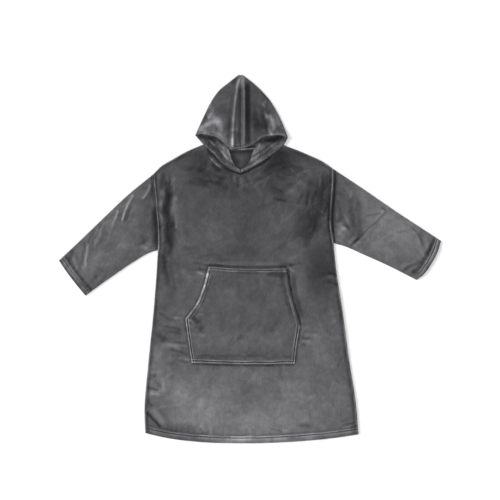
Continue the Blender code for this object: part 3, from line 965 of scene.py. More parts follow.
def thread_material():
    material = bpy.data.materials.new("thread_grey")
    material.use_nodes = True
    nodes, links = material.node_tree.nodes, material.node_tree.links
    shader = nodes["Principled BSDF"]
    shader.inputs["Roughness"].default_value = 0.6
    place = nodes.new("ShaderNodeTexCoord").outputs["Object"]
    twist = noise_node(nodes, links, place, scale=900, detail=2)
    colour = nodes.new("ShaderNodeMix")
    colour.data_type = "RGBA"
    colour.inputs["A"].default_value = (0.03, 0.03, 0.033, 1)
    colour.inputs["B"].default_value = (0.1, 0.1, 0.106, 1)
    links.new(twist, colour.inputs["Factor"])
    links.new(colour.outputs["Result"], shader.inputs["Base Color"])
    return material


THREAD = thread_material()
print("Materials:", [material.name for material in (PLUSH, REVERSE, THREAD)])

# %% [markdown]
# ## The body's two panels
#
# Both panels share their side seams, armholes, shoulders and hem. The back reaches up to the
# back neck and the front only to the lower neck seam. The grid has close rows where a rim's
# profile needs them, and rows of an even step between.

# %% Nap, painted shade and painted highlights of the body
# Besides the nap's tone, many strokes are painted shade: the dark trough beside the wearer's right
# armhole, and darker bands beside the hood and under its border. The bright strokes on the neck seam's
# ridge are painted highlights.
BODY_NAP_AND_PAINTED_SHADE = table(
    Stroke,
    (-310, -575, -180, -588, 16, -0.26),
    (-240, 190, 190, 190, 60, -0.12),
    (-312, 190, -300, 40, 10, -0.22),
    (190, -160, 280, -200, 50, -0.14),
    (-100, -480, 100, -480, 80, -0.12),
    (-40, 250, -20, -10, 240, -0.26),
    (-20, 270, -20, 110, 190, -0.34),
    (-20, 60, -20, -40, 230, -0.05),
    (-235, 350, -120, 284, 46, -0.44),
    (62, 334, 116, 374, 9, -0.50),
    (-102, 316, -54, 286, 9, -0.44),
    (150, 372, 270, 316, 14, -0.16),
    (180, 350, 62, 290, 46, -0.60),
    (-250, -600, 260, -600, 210, 0.54),
    (-330, -560, -120, -500, 90, 0.20),
    (-20, -460, 0, -540, 90, -0.36),
    (-316, -300, -336, -480, 40, 0.34),
    (-320, -600, -150, -622, 30, -0.34),
    (-299, 300, -307, 236, 7, -0.50),
    (-290, 270, -276, 214, 12, -0.80, 3),
    (-275, 228, -291, 160, 14, -0.95, -4),
    (-295, 172, -281, 108, 13, -0.85, 4),
    (-276, 122, -282, 56, 14, -0.95, -4),
    (-276, 66, -294, 8, 13, -0.64, 4),
    (-292, 20, -300, -50, 11, -0.50),
    (-264, 150, -258, 60, 6, -0.40, -3),
    (-302, 212, -305, 140, 5, 0.24),
    (-298, 118, -301, 60, 4, 0.26),
    (-262, 140, -244, -90, 16, -0.30, -6),
    (-262, 230, -240, 196, 5, -0.24, 4),
    (-266, 100, -236, 76, 6, -0.22, 4),
    (-310, 200, -312, 20, 9, 0.30),
    (236, 280, 236, -40, 50, -0.34),
    (258, 290, 226, 100, 24, -0.42, -10),
    (242, 280, 219, 186, 4, 0.34, 5),
    (256, 264, 236, 184, 6, -0.36, 4),
    (270, 290, 272, 135, 7, -0.42),
    (208, 272, 190, 186, 9, -0.38, 4),
    (219, 130, 200, 30, 13, -0.24, -4),
    (196, 190, 170, 60, 30, -0.34),
    (228, 96, 214, 60, 4, 0.24, 3),
    (250, 20, 244, -130, 50, -0.56),
    (150, 262, 214, 240, 9, 0.26, 5),
    (-220, 262, -150, 250, 10, -0.30, 5),
    (-170, 262, -60, 246, 16, -0.28),
    (70, 240, 120, 205, 14, -0.26, 6),
    (-20, 150, -36, 20, 20, -0.12),
    (-180, 120, -60, 130, 60, 0.12),
    (40, 170, 130, 120, 50, 0.12),
    (-140, 20, 60, 20, 26, -0.16),
    (150, 60, 230, 110, 20, -0.22, 8),
    (-290, -30, -270, -160, 20, -0.20, 6),
    (-322, -262, -280, -286, 9, -0.32),
    (-340, -300, -300, -330, 24, 0.20),
    (-30, -420, 10, -480, 26, -0.20),
    (60, -412, 100, -500, 20, -0.16, 8),
    (200, -240, 300, -320, 60, 0.26),
    (128, -36, 142, -38, 4, 0.50),
    (150, -60, 176, -200, 9, -0.45, -4),
    (-290, -470, -180, -440, 40, 0.16, 10),
    (-60, -520, 40, -560, 40, 0.10),
    (300, -420, 310, -520, 30, 0.14, 10),
    (-134, 348, -95, 314, 5, 0.66),
    (-130, 330, -104, 304, 7, -0.60),
    (-2, 301, 38, 320, 4, 0.55),
    (-146, 372, -136, 352, 6, -0.30),
    (-86, 290, -110, 262, 10, -0.40),
    (40, 296, 92, 330, 10, -0.40),
    (130, 380, 100, 330, 22, -0.40, -8),
    (-190, 372, -150, 330, 22, -0.30, 8),
)
# Painted shade and highlight of creases and puckers: dark lines in their hollows and light lines on
# their crests, with painted shadow lines above the pocket's top and under the hood's border.
BODY_PAINTED_CREASE_SHADING = table(
    Stroke,
    (104, -18, 150, -20, 5, -0.55),
    (140, -36, 156, -44, 4, 0.36),
    (-314, -184, -280, -203, 4.5, -0.40),
    (-293, -197, -250, -203, 4, 0.26),
    (-293, -232, -237, -246, 5, -0.48, 3),
    (-276, -248, -233, -258, 3.4, -0.34),
    (-280, -309, -211, -333, 5, -0.50, 3),
    (-284, -294, -215, -301, 4, 0.30),
    (-267, -284, -220, -290, 3, -0.34),
    (-258, -336, -207, -347, 3.5, 0.30),
    (-250, -349, -208, -357, 3, -0.34),
    (-356, -528, -308, -580, 4.4, -1.10),
    (-350, -540, -306, -590, 5, 0.22),
    (-137, 353, -90, 314, 4, 0.55, -4),
    (-118, 352, -84, 324, 6, -0.40, -3),
    (18, 313, 46, 333, 4, 0.36, 3),
    (-353, -443, -314, -452, 4.5, -0.46),
    (-350, -486, -338, -508, 4, -0.40),
    (-327, -417, -306, -443, 4, -0.34),
    (-345, -461, -310, -469, 4, 0.26),
    (-346, -398, -320, -404, 4, -0.36),
    (269, -46, 302, -57, 4.5, -0.55),
    (266, -60, 298, -71, 3.6, 0.36),
    (268, -77, 302, -88, 4, -0.42),
    (293, -98, 311, -141, 4, 0.26),
    (308, -158, 321, -215, 4, -0.30),
    (177, -274, 208, -272, 3.2, -0.46),
    (180, -282, 210, -284, 3.2, 0.36),
    (176, -292, 194, -297, 3.5, -0.46),
    (319, -573, 362, -562, 4, -0.55),
    (345, -582, 369, -575, 3, -0.40),
    (318, -582, 350, -574, 3, 0.28),
    (69, -583, 112, -594, 4, -0.40),
    (172, -572, 206, -576, 5, -0.32),
    (104, -372, 106, -417, 7, -0.22),
    (-172, -581, -159, -603, 3.6, -0.40),
    (-196, -12, -146, -22, 3.6, -0.44),
    (-184, -44, -152, -55, 4.4, 0.56),
    (-178, -64, -156, -62, 3, 0.30),
    (-180, -33, -150, -38, 3, -0.40),
    (-185, 2, -138, 14, 4, -0.22),
    (138, -22, 190, -12, 4, -0.26),
    (-302, 14, -284, -90, 6, -0.30, 3),
    (-276, -20, -258, -106, 5, -0.22, 3),
    (-69, 288, -60, 270, 3.2, -0.46),
    (-52, 286, -52, 262, 3, 0.36),
    (-43, 284, -41, 244, 3, -0.42),
    (-32, 284, -25, 250, 3.2, 0.32),
    (-19, 286, 2, 250, 3.6, -0.42),
    (-10, 292, 8, 272, 3.2, 0.26),
    (-126, 290, -86, 273, 7, -0.36),
    (-118, 267, -97, 255, 5, -0.30),
    (-195, 281, -132, 270, 4, -0.36, -3),
    (-184, 313, -138, 284, 7, -0.26),
    (46, 318, 104, 330, 7, -0.28),
    (6, 262, 58, 284, 5, -0.30, 4),
    (58, 290, 150, 318, 4, -0.26, 5),
    (81, 210, 127, 198, 4.6, -0.55),
    (69, 250, 115, 227, 4, -0.26, 3),
    (155, 261, 196, 284, 4, -0.26, 4),
    (161, 284, 207, 307, 4, 0.24, 4),
    (184, 227, 161, 192, 6, -0.30),
)
# Painted shade along the edges of the back that show under the hood, with lighter nap patches between
# them.
BACK_NAP_AND_PAINTED_SHADE = table(
    Stroke,
    (-64, 376, -34, 304, 8, -0.26),
    (8, 378, -24, 308, 8, -0.22),
    (-70, 372, 12, 374, 7, -0.34),
    (-34, 362, -24, 330, 9, 0.34),
    (-50, 356, -40, 338, 6, 0.24),
    (-10, 360, -16, 344, 6, 0.26),
)
BODY_SMEARS = table(
    Smear,
    (-130, 275, 90, 34, -15, 14, 50, 0.16),
    (80, 268, 95, 40, 30, 18, 50, 0.17),
    (236, 190, 40, 110, 78, 26, 50, 0.30),
    (-282, 140, 26, 150, 86, 22, 55, 0.26),
    (-150, 10, 140, 70, 10, 16, 60, 0.15),
    (110, 90, 120, 110, 40, 18, 60, 0.15),
    (-300, -330, 45, 190, 60, 18, 50, 0.18),
    (268, -330, 60, 190, 100, 18, 50, 0.16),
    (0, -500, 290, 90, 85, 30, 55, 0.11),
    (-210, 330, 70, 36, 28, 12, 45, 0.20),
    (150, 330, 70, 36, -28, 12, 45, 0.20),
)
print("Strokes of nap on the body:", len(BODY_NAP_AND_PAINTED_SHADE + BODY_PAINTED_CREASE_SHADING + BACK_NAP_AND_PAINTED_SHADE))

# %% Body panels
BODY_STEP, BACK_STEP = 3.9, 7.0
NECK_FROM, NECK_TO = 0.29, 0.69
ARMHOLE_FROM = 0.71
BODY_WIDTH, BODY_LENGTH = 650.0, 940.0
# Painted shade on the back where it shows through the neck, under the hood
NAPE_PAINTED_SHADE, NAPE_FROM_Y, NAPE_FADE = -0.55, 250.0, 60.0
# Painted lines along the front's hem, seams and pocket: highlights on swellings, shade in grooves, and
# a painted shadow just outside the pocket's edges and above its top.
FRONT_PAINTED_EDGE_SHADING = hem_painted_shading(HEM, 1, BODY_HEM) + table(
    Mark,
    (HEM, 1, 6, 5, -0.22),
    (POCKET_FOOT, -1, 4, 3.6, -0.85),
    (POCKET_TOP, 1, 5, 3.8, -0.75),
    (POCKET_TOP, 1, 12, 2.4, 0.22),
    (ARMHOLES, 1, 3, 2.2, 0.45),
    (ARMHOLES, 1, 8, 4, -0.36),
    (SIDE_SEAMS, 1, 9, 6, -0.16),
    (POCKET_SIDES, -1, 3, 2.8, -0.50),
    (POCKET_MOUTHS, -1, 3, 3, -0.40, RIGHT),
    (POCKET_MOUTHS, -1, 3, 3, -1.10, LEFT),
)


def body_shares(step):
    """The shares of a panel's grid across its width and up its length."""
    across = graded(BODY_WIDTH, SEAM_RIM, SEAM_RIM, step)
    return np.meshgrid(across, graded(BODY_LENGTH, HEM_RIM, SEAM_RIM, step))


def body_side(side):
    return joined(
        (ARMHOLE_FROM, side_line(SIDE_SEAMS, side)),
        (1.0, side_line(ARMHOLES, side)),
    )


def body_patch(neck):
    """The plan of a body panel, whose upper edge is shoulder, neck and shoulder."""
    head = joined(
        (NECK_FROM, side_line(SHOULDERS, RIGHT)),
        ((NECK_FROM + NECK_TO) / 2, side_line(neck, RIGHT)),
        (NECK_TO, turned(side_line(neck, LEFT))),
        (1.0, turned(side_line(SHOULDERS, LEFT))),
    )
    return patch(line(HEM), head, body_side(RIGHT), body_side(LEFT))


def panel_rim(u, v):
    """The lift of a panel's outer points near its seams and its hem."""
    seam = rim_lift(SEAM_RIM, np.minimum(u, 1 - u) * BODY_WIDTH)
    top = rim_lift(SEAM_RIM, (1 - v) * BODY_LENGTH)
    hem = rim_lift(HEM_RIM, v * BODY_LENGTH)
    return joined_rims(seam, top, hem)


def make_back():
    u, v = body_shares(BACK_STEP)
    spots = body_patch(BACK_NECK)(u, v)
    rim = panel_rim(u, v)
    outer = with_heights(spots, PLY + np.minimum(rim, 0))
    # Painted highlight and shade on the rims, and painted shade towards the nape
    tones = RIM_PAINTED_LIGHT * rim + NAPE_PAINTED_SHADE * soft_step((spots[..., 1] - NAPE_FROM_Y) / NAPE_FADE)
    tones = tones + nap_and_painted_shading_at(BACK_NAP_AND_PAINTED_SHADE, spots, smudging=2 * SMUDGE)
    return wall("back_of_body", outer, with_heights(spots, 0.0), tones)


def make_front():
    u, v = body_shares(BODY_STEP)
    spots = body_patch(NECK_SEAM)(u, v)
    height = front_height(spots)
    rim = panel_rim(u, v) * uneven(spots)
    outer = with_heights(spots, height + np.maximum(rim, RIM_FLOOR))
    tones = nap_and_painted_shading_at(BODY_NAP_AND_PAINTED_SHADE + smeared(BODY_SMEARS), spots, BODY_PAINTED_CREASE_SHADING + marked(FRONT_PAINTED_EDGE_SHADING))
    # Painted highlight on raised rims and folds, and painted shade in grooves, beyond the hood
    tones = tones + RIM_PAINTED_LIGHT * rim * clear_of_hood(spots) + FOLD_PAINTED_LIGHT * (height - FRONT_BASE)
    return wall("front_of_body", outer, with_heights(spots, height - PLY), tones)


back = make_back()
front = make_front()

# %% [markdown]
# ## The sleeves
#
# A laid sleeve is a flattened tube. Each ring goes over the top, round one fold, back along
# the surface and round the other fold. Only the top layer carries the folds.

# %% Folds, nap and painted shading of the sleeves
SLEEVE_FOLDS = table(
    Stroke,
    (-402, 224, -441, 130, 6.5, 3.6, -4),
    (-392, 206, -428, 132, 7, -0.6),
    (-454, 172, -474, 108, 6.5, 2.8, 3),
    (-511, 112, -537, 44, 8, 3.2, 5),
    (-555, 58, -567, -35, 9, 3.2, -5),
    (-341, 262, -370, 204, 5.5, 3.2, 3),
    (-332, 200, -352, 120, 9, 2.2, 4),
    (-362, 100, -340, 56, 12, 2.4, 4),
    (-610, 18, -594, -52, 8, 2.8, 4),
    (-375, 40, -330, 50, 9, 3.2),
    (-420, 60, -478, 16, 18, 2.0, 8),
    (-500, 30, -545, -40, 16, 1.8, -8),
    (300, 278, 356, 214, 10, 2.0, 4),
    (468, 176, 372, 54, 7, 1.8, 2),
    (360, 202, 364, 66, 12, 3.0, 10),
    (304, 122, 338, 92, 9, 3.6, 4),
    (300, 96, 330, 66, 8, 2.4, 4),
    (392, 24, 344, 62, 8, 2.8, 4),
    (452, 140, 520, 150, 14, 1.8, 4),
    (578, 112, 606, 2, 9, 2.4, -8),
    (604, 92, 624, 22, 8, 2.2, -5),
    (521, -30, 585, -12, 9, 2.8, 3),
    (430, 60, 500, 0, 18, 2.0, 8),
)
SLEEVE_RIPPLES = table(Ripple, (50, 50, 3.5, 0.9), (22, 22, 9.5, 0.4))
# Besides the nap's tone, these strokes paint shade in the troughs beside the armholes, and painted
# highlights and shade along the sleeves' folds.
SLEEVE_NAP_AND_PAINTED_SHADING = table(
    Stroke,
    (352, 180, 378, 70, 18, -0.24),
    (-400, 182, -356, 174, 24, 0.16),
    (-392, 76, -342, 70, 26, -0.12),
    (410, 150, 590, 40, 50, 0.08),
    (-400, 60, -350, 90, 30, -0.12),
    (-520, 90, -440, 20, 40, -0.10),
    (-345, 240, -640, -40, 150, 0.32),
    (-350, 220, -344, 70, 38, -0.30),
    (-440, 110, -480, 50, 50, -0.08),
    (-560, 0, -620, -60, 60, 0.12),
    (-330, 176, -326, 44, 11, -0.62, 3),
    (-401, 222, -440, 132, 3.4, 0.56, -4),
    (-408, 186, -428, 128, 5, -0.26),
    (-431, 180, -449, 128, 5, -0.32),
    (-454, 168, -474, 116, 3.4, 0.44),
    (-460, 162, -473, 114, 4, -0.26),
    (-513, 122, -543, 54, 4, -0.34),
    (-523, 108, -539, 60, 4, 0.30),
    (-534, 104, -560, 52, 5, -0.28),
    (-560, 46, -566, -26, 4.5, 0.36),
    (-569, 58, -580, -22, 6, -0.38),
    (-614, 34, -619, -4, 7, -0.46),
    (-526, -54, -548, -78, 6, -0.30),
    (-495, -54, -526, -90, 5, -0.28),
    (-342, 258, -369, 208, 3.6, 0.44, 3),
    (-334, 262, -346, 210, 6, -0.34, 4),
    (-368, 44, -350, 31, 6, 0.36),
    (-368, 72, -364, 40, 4, -0.30),
    (310, 280, 312, 110, 36, -0.30),
    (300, 270, 650, 20, 160, 0.44),
    (590, 60, 640, 10, 60, 0.12),
    (294, 300, 286, 90, 10, -0.60, -4),
    (352, 220, 360, 66, 20, -0.50, 9),
    (305, 86, 333, 108, 7, 0.42, 4),
    (318, 118, 344, 100, 5, -0.36, 4),
    (308, 66, 320, 56, 6, 0.30),
    (469, 162, 360, 57, 3.2, -0.48),
    (452, 180, 470, 168, 5, -0.40),
    (394, 147, 452, 159, 3.5, -0.26),
    (378, 72, 346, 46, 4.5, -0.66),
    (366, 78, 336, 56, 5, 0.22),
    (558, 110, 595, 48, 5, -0.32, 5),
    (636, 76, 616, 24, 6, -0.42),
    (616, 26, 580, -15, 6, -0.36),
    (580, -14, 530, -38, 6, -0.50, -3),
    (500, 110, 560, 40, 30, 0.10),
)
SLEEVE_SMEARS = table(
    Smear,
    (-450, 80, 110, 80, 58, 18, 50, 0.13),
    (-560, -20, 70, 60, 70, 12, 40, 0.14),
    (450, 110, 130, 80, 40, 20, 50, 0.12),
    (330, 150, 36, 90, 90, 14, 45, 0.22),
)
print("Strokes on the sleeves:", len(SLEEVE_FOLDS + SLEEVE_NAP_AND_PAINTED_SHADING))

# %% Sleeves
SLEEVE_LENGTH = 440.0
SLEEVE_STEP = 3.2
RING_STEP = 0.013
SLEEVE_CROWN, SLEEVE_LOWEST = 2.4, -0.5
SLEEVE_FADE = 26.0
SLEEVE_WANDER = 0.3
# Painted highlight on raised rims and painted shade in grooves: faint at the armhole seam, stronger at
# the cuff's hem
ARMHOLE_RIM_PAINTED_LIGHT, CUFF_RIM_PAINTED_LIGHT = 0.10, 0.30
TURN_ANGLES = np.radians(np.linspace(0, 180, 9)[1:-1])
SLEEVE_PUCKERS = table(
    Pucker,
    (CUFFS, -1, CUFF_HEM + 3, 24, 1.3, 14, 15.5),
    (ARMHOLES, -1, 7, 26, 1.4, 15, 18.5),
    (SLEEVE_UNDER, 1, 6, 26, 1.0, 26, 21.5),
)
# Painted lines along the cuffs and armholes: highlights on the hem's swellings, shade in its groove and
# beside the seams, and a darker band further in from the cuff.
SLEEVE_PAINTED_EDGE_SHADING = hem_painted_shading(CUFFS, -1, CUFF_HEM) + table(
    Mark,
    (CUFFS, -1, 3, 5, -0.55),
    (CUFFS, -1, 28, 7, -0.62),
    (ARMHOLES, -1, 5, 3.4, -0.45, RIGHT),
    (ARMHOLES, -1, 5, 3.4, -0.85, LEFT),
)


def sleeve_rim(v):
    """The lift of a sleeve's seam or of its hem, at a share of the way to the cuff."""
    rims = SEAM_RIM if v < 0.5 else CUFF_RIM
    return rim_lift(rims, min(v, 1 - v) * SLEEVE_LENGTH)


def sleeve_ring(plan, v, across, ply_in, lift):
    """The points of one ring round a flattened tube, in from its outer face by ply_in."""
    width = np.linalg.norm(plan(1.0, v) - plan(0.0, v))
    bend = SLEEVE_STACK / 2
    centre = bend / width
    flat = centre + across * (1 - 2 * centre)
    radius = bend - ply_in
    reach = radius / width * np.sin(TURN_ANGLES)
    rise = bend + radius * np.cos(TURN_ANGLES)
    share = np.concatenate([flat, 1 - centre + reach, flat[::-1], centre - reach])
    top = np.full(len(flat), bend + radius)
    height = np.concatenate([top, rise, np.full(len(flat), bend - radius), rise[::-1]])
    raised = np.arange(len(share)) < len(flat)
    spots = plan(share, v)
    fade = soft_step(share * width / SLEEVE_FADE) * soft_step((1 - share) * width / SLEEVE_FADE)
    heights = height + raised * fade * np.maximum(lift(spots, share), SLEEVE_LOWEST)
    if ply_in == 0:
        heights = heights + raised * np.maximum(sleeve_rim(v) * uneven(spots), RIM_FLOOR)
    return with_heights(spots, heights)


def sleeve_plan(side):
    """The plan of a sleeve, from its armhole to its cuff, parted from the body at the seam."""
    outward = np.array([side * SEAM_GAP, 0.0])
    plain = patch(
        turned(side_line(ARMHOLES, side)),
        side_line(CUFFS, side),
        side_line(SLEEVE_TOP, side),
        side_line(SLEEVE_UNDER, side),
    )
    return lambda u, v: plain(u, v) + outward * (1 - np.asarray(v, float))[..., None]


def make_sleeve(name, side):
    plan = sleeve_plan(side)
    relief = SLEEVE_FOLDS + puckered(SLEEVE_PUCKERS, [side])

    def lift(spots, share):
        crown = SLEEVE_CROWN * (1 - (2 * share - 1) ** 4)
        return crown + strokes_at(relief, spots, trough=FOLD_TROUGH) + ripples_at(SLEEVE_RIPPLES, spots)

    stations = graded(SLEEVE_LENGTH, SEAM_RIM, CUFF_RIM, SLEEVE_STEP)
    across = spread(0, 1, RING_STEP)
    outer = np.array([sleeve_ring(plan, v, across, 0.0, lift) for v in stations])
    inner = np.array([sleeve_ring(plan, v, across, PLY, lift) for v in stations])
    spots = outer[..., :2]
    rim = np.array([sleeve_rim(v) for v in stations])[:, None] * uneven(spots)
    # Painted highlight and shade from the rims, and painted highlight on the folds
    rim_painted_light = np.where(stations < 0.5, ARMHOLE_RIM_PAINTED_LIGHT, CUFF_RIM_PAINTED_LIGHT)[:, None]
    lines = marked(SLEEVE_PAINTED_EDGE_SHADING, [side])
    tones = nap_and_painted_shading_at(SLEEVE_NAP_AND_PAINTED_SHADING + smeared(SLEEVE_SMEARS), spots, lines, SLEEVE_WANDER)
    tones = tones + rim_painted_light * rim + FOLD_PAINTED_LIGHT * strokes_at(relief, spots, trough=FOLD_TROUGH)
    return tube(name, outer, inner, tones)


sleeves = [make_sleeve("sleeve_of_right_arm", RIGHT), make_sleeve("sleeve_of_left_arm", LEFT)]

# %% [markdown]
# ## The hood
#
# Each half of the hood starts at the middle, runs out under the opening as the lower layer,
# folds round the outline, and comes back over the top as the upper layer. The lower layer's
# inner face shows between the brow and the hemmed border, as on a hood that lies open.

# %% Folds, nap, painted highlights and painted shade of the hood
HOOD_FOLDS = table(
    Stroke,
    (-39, 626, -60, 386, 6.5, 4.6, -5),
    (-21, 626, -21, 392, 4.5, 3.2, 2),
    (-5, 600, -5, 398, 9, -2.6),
    (-57, 430, -63, 384, 8, 2.2),
    (-121, 496, -92, 446, 18, 3.2, 4),
    (-172, 446, -124, 474, 12, 3.0, 6),
    (-150, 488, -128, 506, 9, 1.8),
    (-104, 560, -72, 566, 9, 1.6),
    (-130, 440, -84, 416, 9, 2.6, 3),
    (12, 512, 4, 452, 9, 2.0, -3),
    (20, 480, 4, 436, 8, 2.0, -3),
    (58, 512, 72, 445, 9, 3.0, -5),
    (72, 470, 84, 438, 7, 2.2),
    (92, 470, 108, 452, 8, 1.8),
    (30, 560, 62, 520, 10, 1.6),
    (26, 428, 60, 438, 8, 1.8, 3),
)
HOOD_RIPPLES = table(Ripple, (45, 30, 5.5, 0.8))
# Painted highlights on the ridges beside the hood's middle seam, and painted shade in the strips next
# to them.
HOOD_PAINTED_RIDGE_SHADING = table(
    Stroke,
    (-38, 620, -60, 386, 3.6, 0.52, -5),
    (-60, 424, -62, 384, 6, 0.14),
    (-30, 640, -29, 596, 11, 0.62),
    (-20, 600, -21, 400, 2.6, 0.34, 2),
    (-33, 586, -38, 400, 5.5, -0.60),
    (-8, 606, -6, 396, 9, -0.95),
    (-50, 600, -74, 396, 5, -0.24, -5),
)
# Besides the nap's tone, several bright strokes are painted highlights along the hood's folds.
HOOD_NAP_AND_PAINTED_FOLD_LIGHT = table(
    Stroke,
    (-166, 440, -138, 446, 9, 0.32),
    (32, 446, 60, 444, 12, 0.24),
    (-120, 540, -80, 480, 24, -0.14),
    (-150, 470, -90, 420, 80, 0.24),
    (70, 560, 120, 440, 30, 0.18),
    (14, 500, 34, 420, 26, -0.60, 8),
    (60, 600, 10, 480, 60, -0.34),
    (24, 520, 40, 430, 34, -0.30),
    (-44, 626, -62, 600, 10, -0.60),
    (-90, 590, -66, 480, 26, -0.24, 8),
    (-62, 470, -74, 416, 12, -0.34),
    (-126, 482, -94, 440, 12, 0.46, 4),
    (-142, 470, -112, 462, 9, 0.26),
    (-176, 440, -134, 466, 8, 0.60, 5),
    (-150, 512, -134, 560, 9, 0.30),
    (-150, 488, -130, 494, 8, 0.34),
    (-162, 452, -150, 496, 8, -0.30),
    (-118, 432, -76, 408, 9, 0.36),
    (-66, 420, -62, 386, 6, 0.22),
    (66, 566, 100, 504, 9, 0.62, 6),
    (70, 500, 84, 444, 6, 0.72, 3),
    (56, 480, 60, 440, 8, -0.42),
    (92, 460, 112, 440, 12, -0.42),
    (62, 452, 72, 432, 7, 0.42),
    (24, 520, 34, 470, 7, 0.36, 3),
    (8, 450, 24, 440, 6, 0.30),
    (90, 434, 126, 426, 5, 0.50),
    (26, 416, 84, 432, 4, 0.34, 4),
)
HOOD_SMEARS = table(
    Smear,
    (70, 490, 50, 80, 115, 26, 34, 0.34),
    (-110, 500, 60, 90, 62, 24, 38, 0.22),
    (-100, 440, 70, 26, 20, 12, 30, 0.26),
)
print("Strokes on the hood:", len(HOOD_FOLDS + HOOD_PAINTED_RIDGE_SHADING + HOOD_NAP_AND_PAINTED_FOLD_LIGHT))

# %% Folds, nap and painted shadow of the hood's inside
FLAP_FOLDS = table(
    Stroke,
    (-110, 404, -70, 330, 14, 1.6, 4),
    (40, 396, 12, 340, 14, 1.6, -4),
    (-90, 398, -72, 372, 6, -1.0),
    (28, 400, 20, 366, 6, -1.0),
)
FLAP_RIPPLES = table(Ripple, (14, 14, 2.5, 0.25))
# Besides the nap's tone, the dark strokes just under the brow are painted shadow inside the hood's
# opening, darkest towards its corners.
FLAP_NAP_AND_PAINTED_SHADOW = table(
    Stroke,
    (-82, 386, 24, 388, 6, -1.1),
    (-180, 424, -112, 412, 9, -0.85, 3),
    (-112, 410, -70, 382, 7, -0.55),
    (28, 402, 122, 418, 9, -0.95, 3),
    (-160, 410, -110, 384, 20, -0.20),
    (-100, 400, -66, 330, 12, 0.58, 3),
    (-84, 394, -66, 350, 7, 0.34, 2),
    (-120, 392, -90, 350, 5, -0.55, 2),
    (-150, 400, -60, 306, 6, -0.30),
    (40, 398, 10, 330, 12, 0.42, -3),
    (52, 410, 112, 418, 10, -0.80),
    (100, 396, 40, 346, 20, -0.26),
    (112, 400, 20, 330, 4, 0.36, -3),
)
FLAP_SMEARS = table(
    Smear,
    (-112, 372, 50, 40, -42, 16, 24, 0.26),
    (60, 372, 50, 40, 40, 16, 24, 0.26),
)
print("Strokes inside the hood:", len(FLAP_FOLDS + FLAP_NAP_AND_PAINTED_SHADOW))

# %% Hood halves
NAPE_SHARE, ROLL_SHARE, ROLL_END = 0.42, 0.58, 0.985
HOOD_SIDE_LENGTH = 265.0
HOOD_CROWN = 2.6
HOOD_LOWEST, FLAP_LOWEST = -0.3, -0.4
NAPE_GAP = 1.0
LINING_SHADE = -0.2
# Painted highlight on the raised rims of the hood's upper layer, and painted shade in its grooves
HOOD_RIM_PAINTED_LIGHT = 0.24
TIP_FADE, FLAP_FADE, OVER_FADE = 0.2, 0.2, 0.25
HOOD_STEP, UNDER_STEP, OVER_STEP = 0.0115, 0.02, 0.017
EDGE_SHARES = np.array([0, 0.004, 0.012, 0.026])
ROLL_RIM = table(Rim, (0, -2.0), (0.8, -0.9), (2.2, 0.1), (5.0, 0.7), (12.0, 0.0))
HOOD_PUCKERS = table(
    Pucker,
    (HOOD_BROW, -1, HOOD_HEM + 2, 18, 1.1, 13, 24.5),
    (HOOD_OUTLINE, -1, 5, 18, 0.9, 22, 27.5),
)
# Painted shade and highlight lines beside the hood's border on the shown flap
FLAP_PAINTED_BORDER_SHADING = table(
    Mark,
    (HOOD_BORDER, -1, 17, 2.6, -0.50),
    (HOOD_BORDER, -1, 33, 3, -0.34),
    (HOOD_BORDER, -1, 25, 3, 0.2),
)


def hood_inner_path(side):
    """The lower layer's inner edge: middle seam, back neck, roll line, front of the neck."""
    seam_x = MIDDLE_X + side * SEAM_GAP / 2
    nape = (seam_x, HOOD_NAPE_Y)
    roll = side_points(ROLL_LINE, side)
    roll_start = (roll[0][0], roll[0][1] + NAPE_GAP)
    roll_end = (seam_x, roll[-1][1])
    return joined(
        (NAPE_SHARE, line([(seam_x, HOOD_TOP_Y), nape])),
        (ROLL_SHARE, line([nape, roll_start])),
        (ROLL_END, line([roll_start, *roll[1:-1], roll_end])),
        (1.0, line([roll_end, (seam_x, HOOD_BORDER[-1].left_y)])),
    )


def hood_patches(side):
    """The plans of a half's lower and upper layer, each from the middle or from the outline."""
    outline = side_line(HOOD_OUTLINE, side)
    inner = hood_inner_path(side)
    seam_x = MIDDLE_X + side * SEAM_GAP / 2
    seam = line([(seam_x, HOOD_TOP_Y), (seam_x, HOOD_BROW_Y)])
    brow = side_points(HOOD_BROW, side)
    brow[-1] = (seam_x, HOOD_BROW_Y)
    border = side_points(HOOD_BORDER, side)[::-1]
    border[0] = (seam_x, HOOD_BORDER[-1].left_y)
    tip = line([inner(0.0), outline(0.0)])
    lower = patch(tip, line(border), inner, outline)
    upper = patch(turned(tip), line(brow), outline, seam)
    return lower, upper


